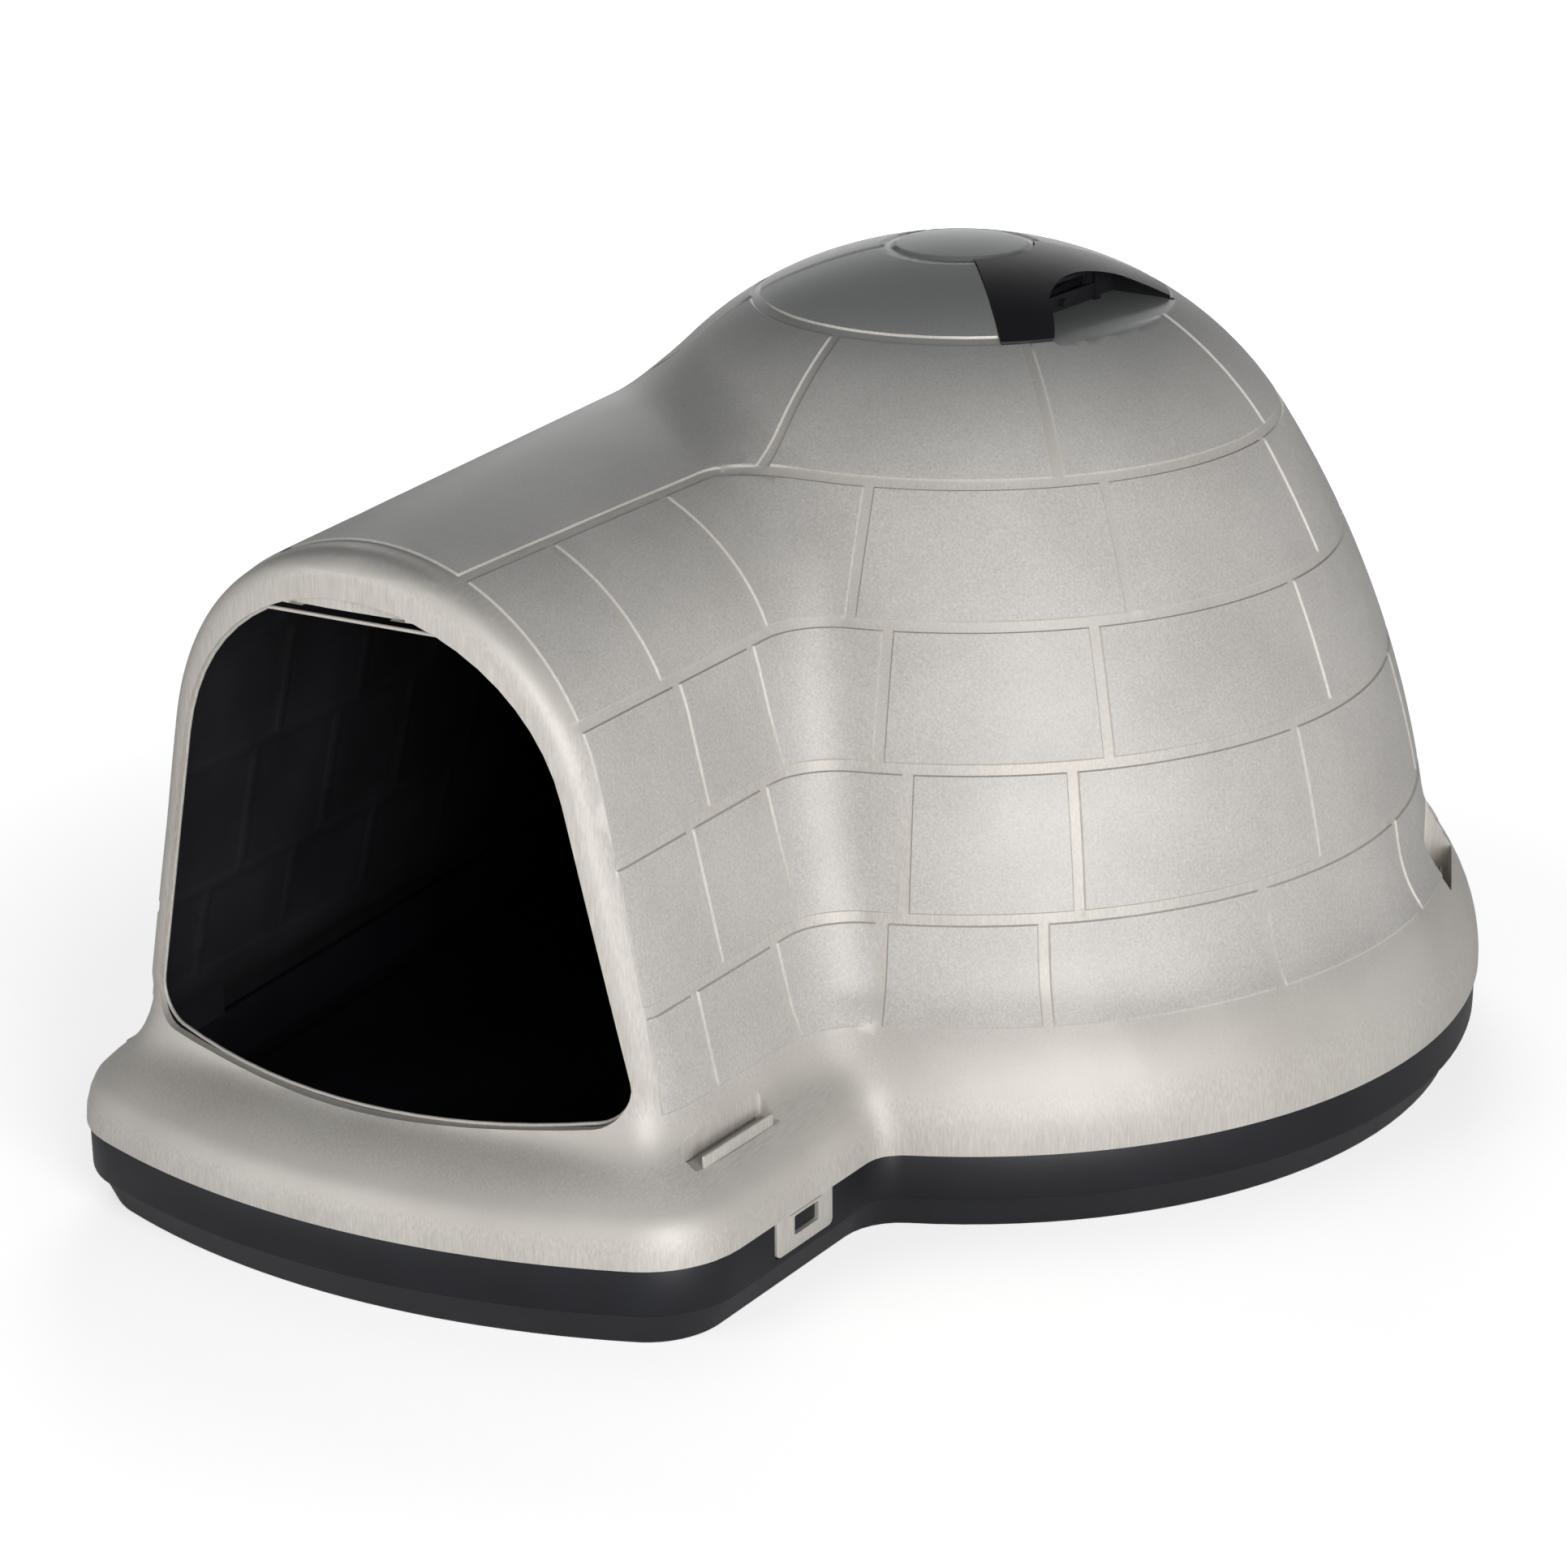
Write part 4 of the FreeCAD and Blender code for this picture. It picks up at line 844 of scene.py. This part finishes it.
def combined(made, bm, how):
    """The object after a boolean with the forms in a bmesh."""
    cutter = solid_object(bm, "cutter")
    change = made.modifiers.new("cut", "BOOLEAN")
    change.object = cutter
    change.operation = how
    change.solver = "MANIFOLD"
    made = applied(made)
    mesh = cutter.data
    bpy.data.objects.remove(cutter)
    bpy.data.meshes.remove(mesh)
    return made


def loosened(made):
    """An object's form as a bmesh; the object itself is removed."""
    bm = bmesh.new()
    bm.from_mesh(made.data)
    bpy.data.objects.remove(made)
    return bm


def closed(bm):
    """The bmesh with its double points merged and its normals turned outward."""
    bmesh.ops.remove_doubles(bm, verts=bm.verts, dist=0.01 * MM)
    bmesh.ops.recalc_face_normals(bm, faces=bm.faces)
    return bm


def door_outline(grow=0.0, steps=24):
    """The door opening's outline in the XZ plane about its own middle, made larger by grow."""
    reach = DOOR_ARCH + grow
    angles = [DOOR_LEAN + (math.pi - 2 * DOOR_LEAN) * index / steps for index in range(steps + 1)]
    arch = [Vector((reach * math.cos(angle), 0, DOOR_SPRING + reach * math.sin(angle)))
            for angle in angles]
    half = arch[0].x + (arch[0].z - SILL - SILL_DROP) * math.tan(DOOR_LEAN)
    corner = DOOR_CORNER + grow
    sill_z = SILL - grow + SILL_RADIUS - math.sqrt(SILL_RADIUS ** 2 - half ** 2)
    corner_z = sill_z + corner
    jamb = arch[0].x + (arch[0].z - corner_z) * math.tan(DOOR_LEAN)
    corner_x = jamb - corner / math.cos(DOOR_LEAN)
    sweep = math.pi / 2 + DOOR_LEAN - SILL_TURN
    turns = [-math.pi / 2 + SILL_TURN + sweep * index / 8 for index in range(9)]
    right = [Vector((corner_x + corner * math.cos(turn), 0, corner_z + corner * math.sin(turn)))
             for turn in turns]
    across = [right[0].x * (1 - 2 * index / 16) for index in range(1, 16)]
    low = right[0].z - (SILL_RADIUS - math.sqrt(SILL_RADIUS ** 2 - right[0].x ** 2))
    sill = [Vector((x, 0, low + SILL_RADIUS - math.sqrt(SILL_RADIUS ** 2 - x ** 2)))
            for x in across]
    left = [Vector((-point.x, 0, point.z)) for point in right]
    return arch + left[::-1] + sill[::-1] + right


def front_depth(x, z):
    """Where the porch's bowed front stands at a place across and up."""
    bow = math.sqrt(NOSE_RADIUS ** 2 - (x - FRONT_CENTRE.x) ** 2)
    return FRONT_CENTRE.y - bow + (z - SEAM - PORCH_SKIRT) * NOSE_LEAN


def door_cutter():
    """The doorway's prism, flat under the lintel."""
    bm = bmesh.new()
    points = [Vector((point.x + PORCH_X, DOOR_CUT, min(point.z, LINTEL)))
              for point in door_outline()]
    extruded(bm, points, (0, DOOR_CUT_LENGTH, 0))
    return closed(bm)


def lintel_cutter():
    """The segment over the lintel, as deep as the recess behind the bowed front."""
    bm = bmesh.new()
    arch = [point for point in door_outline(steps=72) if point.z > LINTEL]
    arch.sort(key=lambda point: point.x)
    chord = [Vector((point.x, 0, LINTEL)) for point in reversed(arch)]
    points = [point + Vector((PORCH_X, LINTEL_CUT, 0)) for point in arch + chord]
    for vert in extruded(bm, points, (0, 0, 0)):
        vert.co.y = front_depth(vert.co.x, vert.co.z) + LINTEL_DEPTH
    return closed(bm)


def inward_place(point, inward):
    """Transform to a place on the seam whose x axis points into the house."""
    return standing(point, math.degrees(math.atan2(inward.y, inward.x)))


def side_place(station):
    """Place on the porch's right-hand side, a distance in front of the dome's axis."""
    along = (station + OUT.y * SIDE_REACH) / ALONG.y
    return inward_place(AXIS + OUT * SIDE_REACH - ALONG * along, -OUT)


def left_place(station):
    """Place on the straight left-hand side, a distance in front of the dome's axis."""
    return inward_place(AXIS - Vector((SKIRT_RADIUS, station, 0)), Vector((1, 0, 0)))


def dome_place(azimuth):
    """Place on the dome's part of the seam."""
    outward = -side_of(azimuth + 90)
    return inward_place(AXIS + outward * SKIRT_RADIUS, -outward)


# place, depth at which the notch starts, height of its ledge
NOTCHES = (
    (side_place(NOTCH_STATION), 0.026, 0.118),
    (left_place(NOTCH_STATION), 0.015, 0.102),
    (dome_place(REAR_NOTCH), 0.026, 0.118),
    (dome_place(180 - REAR_NOTCH), 0.026, 0.118),
)


def opened(made):
    """Cuts the doorway, the vent pocket and the finger notches, with their linings."""
    made = combined(made, door_cutter(), "DIFFERENCE")
    made = combined(made, lintel_cutter(), "DIFFERENCE")
    vent = standing(AXIS, VENT_AZIMUTH)
    half = VENT_HALF + VENT_LINING
    bm = bmesh.new()
    box(bm, vent, (VENT_BACK - VENT_LINING, VENT_REACH), (-half, half),
        (VENT_FLOOR - VENT_LINING, ROOF_TOP))
    half = NOTCH_HALF + NOTCH_LINING
    for place, start, ledge in NOTCHES:
        box(bm, place, (start - NOTCH_LINING, start + NOTCH_DEPTH + NOTCH_LINING), (-half, half),
            (ledge - NOTCH_LINING, NOTCH_TOP))
    core = loosened(smooth_moulding(WALL / 2))
    for face in bm.faces[:] + core.faces[:]:
        face.material_index = INNER
    lining = solid_object(bm, "lining")
    for material in SHELL_SKINS:
        lining.data.materials.append(material)
    made = combined(made, loosened(combined(lining, core, "INTERSECT")), "UNION")
    window = (-WINDOW_HALF, WINDOW_HALF)
    bm = bmesh.new()
    box(bm, vent, (VENT_BACK, VENT_REACH), (-VENT_HALF, VENT_HALF), (VENT_FLOOR, ROOF_TOP))
    box(bm, vent, (VENT_BACK - 2 * VENT_LINING, VENT_BACK - MM), window, WINDOW_HEIGHTS)
    made = combined(made, bm, "DIFFERENCE")
    bm = bmesh.new()
    box(bm, vent, (VENT_BACK - 2 * MM, VENT_BACK + MM), window, WINDOW_HEIGHTS)
    for place, start, ledge in NOTCHES:
        box(bm, place, (start, start + NOTCH_DEPTH), (-NOTCH_HALF, NOTCH_HALF),
            (ledge, NOTCH_TOP + NOTCH_ABOVE), rounding=NOTCH_ROUND)
    made = combined(made, bm, "DIFFERENCE")
    slots = bmesh.new()
    tongues = bmesh.new()
    for place, start, ledge in NOTCHES:
        end = start + NOTCH_DEPTH
        box(slots, place, (end - TONGUE, end), (WALL - NOTCH_HALF, NOTCH_HALF - WALL),
            (ledge - WALL, ledge + MM))
        box(tongues, place, (start + WALL, start + WALL + TONGUE), (-TONGUE_HALF, TONGUE_HALF),
            (ledge - MM, ledge + TONGUE_RISE), rounding=TONGUE_ROUND)
    made = combined(made, slots, "DIFFERENCE")
    made = combined(made, tongues, "UNION")
    # the pocket's walls and its window are dark like the inside; its floor stays pearl
    for face in made.data.polygons:
        spot = vent.inverted() @ face.center
        if abs(spot.y) < VENT_HALF + MM and spot.z > VENT_FLOOR:
            wall = spot.x > VENT_BACK - MM and abs(face.normal.z) < UPRIGHT
            frame_side = abs(spot.x - VENT_BACK) < 2 * VENT_LINING
            if wall or (frame_side and spot.z < WINDOW_HEIGHTS[1] + MM):
                face.material_index = INNER
    return made


def door_bead():
    """Fine rolled bead round the door opening, just behind its outer edge."""
    line = bpy.data.curves.new("door_bead", "CURVE")
    line.dimensions = "3D"
    line.bevel_depth = BEAD
    line.bevel_resolution = 2
    outline = [point for point in door_outline(-BEAD / 2) if point.z < LINTEL - BEAD]
    spline = line.splines.new("POLY")
    spline.points.add(len(outline) - 1)
    spline.use_cyclic_u = True
    for item, point in zip(spline.points, outline):
        x = point.x + PORCH_X
        item.co = (x, front_depth(x, point.z) + WALL - BEAD, point.z, 1)
    made = bpy.data.objects.new("door_bead", line)
    bpy.context.scene.collection.objects.link(made)
    graph = bpy.context.evaluated_depsgraph_get()
    mesh = bpy.data.meshes.new_from_object(made.evaluated_get(graph))
    bpy.data.objects.remove(made)
    bead = bpy.data.objects.new("door_bead", mesh)
    bpy.context.scene.collection.objects.link(bead)
    mesh.materials.append(smooth_skin)
    return bead


shell = opened(blocked(smooth_moulding()))
shell.data.set_sharp_from_angle(angle=SHARP)
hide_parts("upper_shell")
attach(shell, "shell")

bead = door_bead()
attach(bead, "shell")


# ---------------------------------------------------------------- base pan
# The floor pan is moulded in near-black polypropylene: a stepped rim with soft edges, a
# spigot that stands inside the shell, a gutter round the floor and crossed ribs beneath.
# Behind each latch it has a hollow with a lug that the latch's window drops over.
PAN_SECTION = (
    (51, 41), (51, 34), (24, 34), (24, 1.2), (23, 0), (20.4, 0), (19.2, 0.5), (18.2, 1.8),
    (7.6, 26.4), (6.4, 27.6), (5.2, 28), (3.9, 28.2), (2.9, 29), (2.5, 30.4), (2.5, 64.2),
    (2.9, 65.3), (4, 65.7), (12.2, 65.7), (13, 66.5), (13, 80.6), (13.5, 81.6), (14.6, 82),
    (16.4, 82), (17.5, 81.6), (18, 80.6), (18, 41), (18.6, 39.6), (20, 39), (44, 39),
    (45.4, 39.5), (46, 40.6), (46, 44.4), (46.6, 45.5), (48, 46),
)
RIB_SECTION = ((49, 43), (49, 36), (22.5, 36), (22.5, 4))
RIB_COUNT = 4
RIB_TOP = 0.05
RIB_SPACING = 0.160
RIB = 4 * MM
PAN_SHARP = math.radians(40)
# hollow, tab, window and lug at each latch
POCKET_DEPTH = 11 * MM
POCKET_CORNER = 5 * MM
LATCH_STATION = 0.507
REAR_LATCH = 30.0
LATCH_HALF = 0.035
LATCH_FOOT = 0.036
LATCH_CORNER = 5 * MM
LATCH_WALL = 4 * MM
LATCH_SETBACK = 0.8 * MM
WINDOW_EDGE = 0.015
WINDOW_SPAN = (0.048, 0.063)
GAP = 1 * MM
SAGITTA = SKIRT_RADIUS - math.sqrt(SKIRT_RADIUS ** 2 - LATCH_HALF ** 2)
LATCHES = {
    "front_right": (side_place(LATCH_STATION), LATCH_SETBACK),
    "front_left": (left_place(LATCH_STATION), LATCH_SETBACK),
    "rear_right": (dome_place(REAR_LATCH), LATCH_SETBACK + SAGITTA),
    "rear_left": (dome_place(180 - REAR_LATCH), LATCH_SETBACK + SAGITTA),
}

pan_plastic = dark_moulding("pan_polypropylene", "1A1B22", "121217", 0.42)


def lofted(section, name):
    """Closed solid whose section of insets and heights in mm runs round the seam's outline."""
    bm = bmesh.new()
    rings = [[bm.verts.new(point + Vector((0, 0, height * MM))) for point in keyhole(inset * MM)]
             for inset, height in section]
    for lower, upper in zip(rings, rings[1:]):
        for index in range(len(lower)):
            bm.faces.new((lower[index - 1], lower[index], upper[index], upper[index - 1]))
    bm.faces.new(rings[0])
    bm.faces.new(rings[-1])
    bmesh.ops.recalc_face_normals(bm, faces=bm.faces)
    return solid_object(bm, name)


def base_pan():
    """The pan with its ribs, latch hollows and lugs."""
    made = lofted(PAN_SECTION, "base_pan_moulding")
    rows = []
    for along in (True, False):
        bm = bmesh.new()
        for index in range(-RIB_COUNT, RIB_COUNT + 1):
            middle = index * RIB_SPACING
            spans = [(middle - RIB / 2, middle + RIB / 2), (-1, 1)]
            box(bm, Matrix(), *(spans if along else spans[::-1]), (RIB, RIB_TOP))
        rows.append(bm)
    grid = combined(solid_object(rows[0], "ribs"), rows[1], "UNION")
    grid = combined(grid, loosened(lofted(RIB_SECTION, "rib_core")), "INTERSECT")
    made = combined(made, loosened(grid), "UNION")
    hollows = bmesh.new()
    lugs = bmesh.new()
    for place, setback in LATCHES.values():
        box(hollows, place, (-POCKET_DEPTH, POCKET_DEPTH), (-LATCH_HALF - GAP, LATCH_HALF + GAP),
            (LATCH_FOOT - GAP, SEAM + 2 * POCKET_CORNER), rounding=POCKET_CORNER)
        box(lugs, place, (setback + GAP, POCKET_DEPTH + MM), (GAP - WINDOW_EDGE, WINDOW_EDGE - GAP),
            (WINDOW_SPAN[0] + GAP, WINDOW_SPAN[1] - GAP), rounding=MM)
    made = combined(made, hollows, "DIFFERENCE")
    return combined(made, lugs, "UNION")


pan = base_pan()
pan.data.materials.clear()
pan.data.materials.append(pan_plastic)
pan.data.shade_smooth()
pan.data.set_sharp_from_angle(angle=PAN_SHARP)
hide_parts("base_pan")
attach(pan, "base")


# ---------------------------------------------------------------- latches
# Four spring tabs of the shell's own foam hang over the seam. Each has a raised frame round
# a window, which drops over the pan's lug and is pulled outward to free it.
FRAME_BORDER = 5 * MM
FRAME_RISE = 1.2 * MM
FRAME_ROUND = 0.6 * MM
TAB_ROUND = 0.7 * MM
TAB_RIM = math.radians(60)
WINDOW_ROUND = 1.5 * MM
WINDOW_CUT = 0.01


def latch_tab(name, place, setback):
    """One tab with rounded corners, its raised frame and its window."""
    bm = bmesh.new()
    angles = [math.radians(15 * index) for index in range(7)]
    inner = LATCH_HALF - LATCH_CORNER
    right = [(inner + LATCH_CORNER * math.sin(angle),
              LATCH_FOOT + LATCH_CORNER * (1 - math.cos(angle))) for angle in angles]
    left = [(-x, z) for x, z in reversed(right)]
    outline = right + [(LATCH_HALF, SEAM), (-LATCH_HALF, SEAM)] + left
    extruded(bm, [place @ Vector((setback, x, z)) for x, z in outline],
             place.to_3x3() @ Vector((LATCH_WALL, 0, 0)))
    bmesh.ops.recalc_face_normals(bm, faces=bm.faces)
    rims = [edge for edge in bm.edges if edge.calc_face_angle() > TAB_RIM]
    bmesh.ops.bevel(bm, geom=rims, offset=TAB_ROUND, offset_type="OFFSET", affect="EDGES",
                    segments=2, profile=0.5, material=-1)
    made = solid_object(bm, "latch_tab_" + name)
    frame_form = bmesh.new()
    edge = WINDOW_EDGE + FRAME_BORDER
    box(frame_form, place, (setback - FRAME_RISE, setback + MM), (-edge, edge),
        (WINDOW_SPAN[0] - FRAME_BORDER, SEAM - MM), rounding=FRAME_ROUND)
    made = combined(made, frame_form, "UNION")
    window = bmesh.new()
    box(window, place, (setback - WINDOW_CUT, setback + WINDOW_CUT), (-WINDOW_EDGE, WINDOW_EDGE),
        WINDOW_SPAN, rounding=WINDOW_ROUND)
    made = combined(made, window, "DIFFERENCE")
    made.data.materials.clear()
    made.data.materials.append(smooth_skin)
    made.data.shade_smooth()
    made.data.set_sharp_from_angle(angle=SHARP)
    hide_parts("latch_" + name)
    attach(made, "latch_" + name + "_body")


for latch_name, (latch_place, latch_setback) in LATCHES.items():
    latch_tab(latch_name, latch_place, latch_setback)


# ---------------------------------------------------------------- roof vent
# A matt dark hood lies in the crown, arched where it opens. Under it a frame with upright
# runners holds a slatted shutter, all moulded in polypropylene.
hood_plastic = dark_moulding("hood_polypropylene", "17171E", "101014", 0.55)
for node in ("vent_hood", "vent_frame", "vent_shutter"):
    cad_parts[node].data.materials.clear()
    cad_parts[node].data.materials.append(hood_plastic)
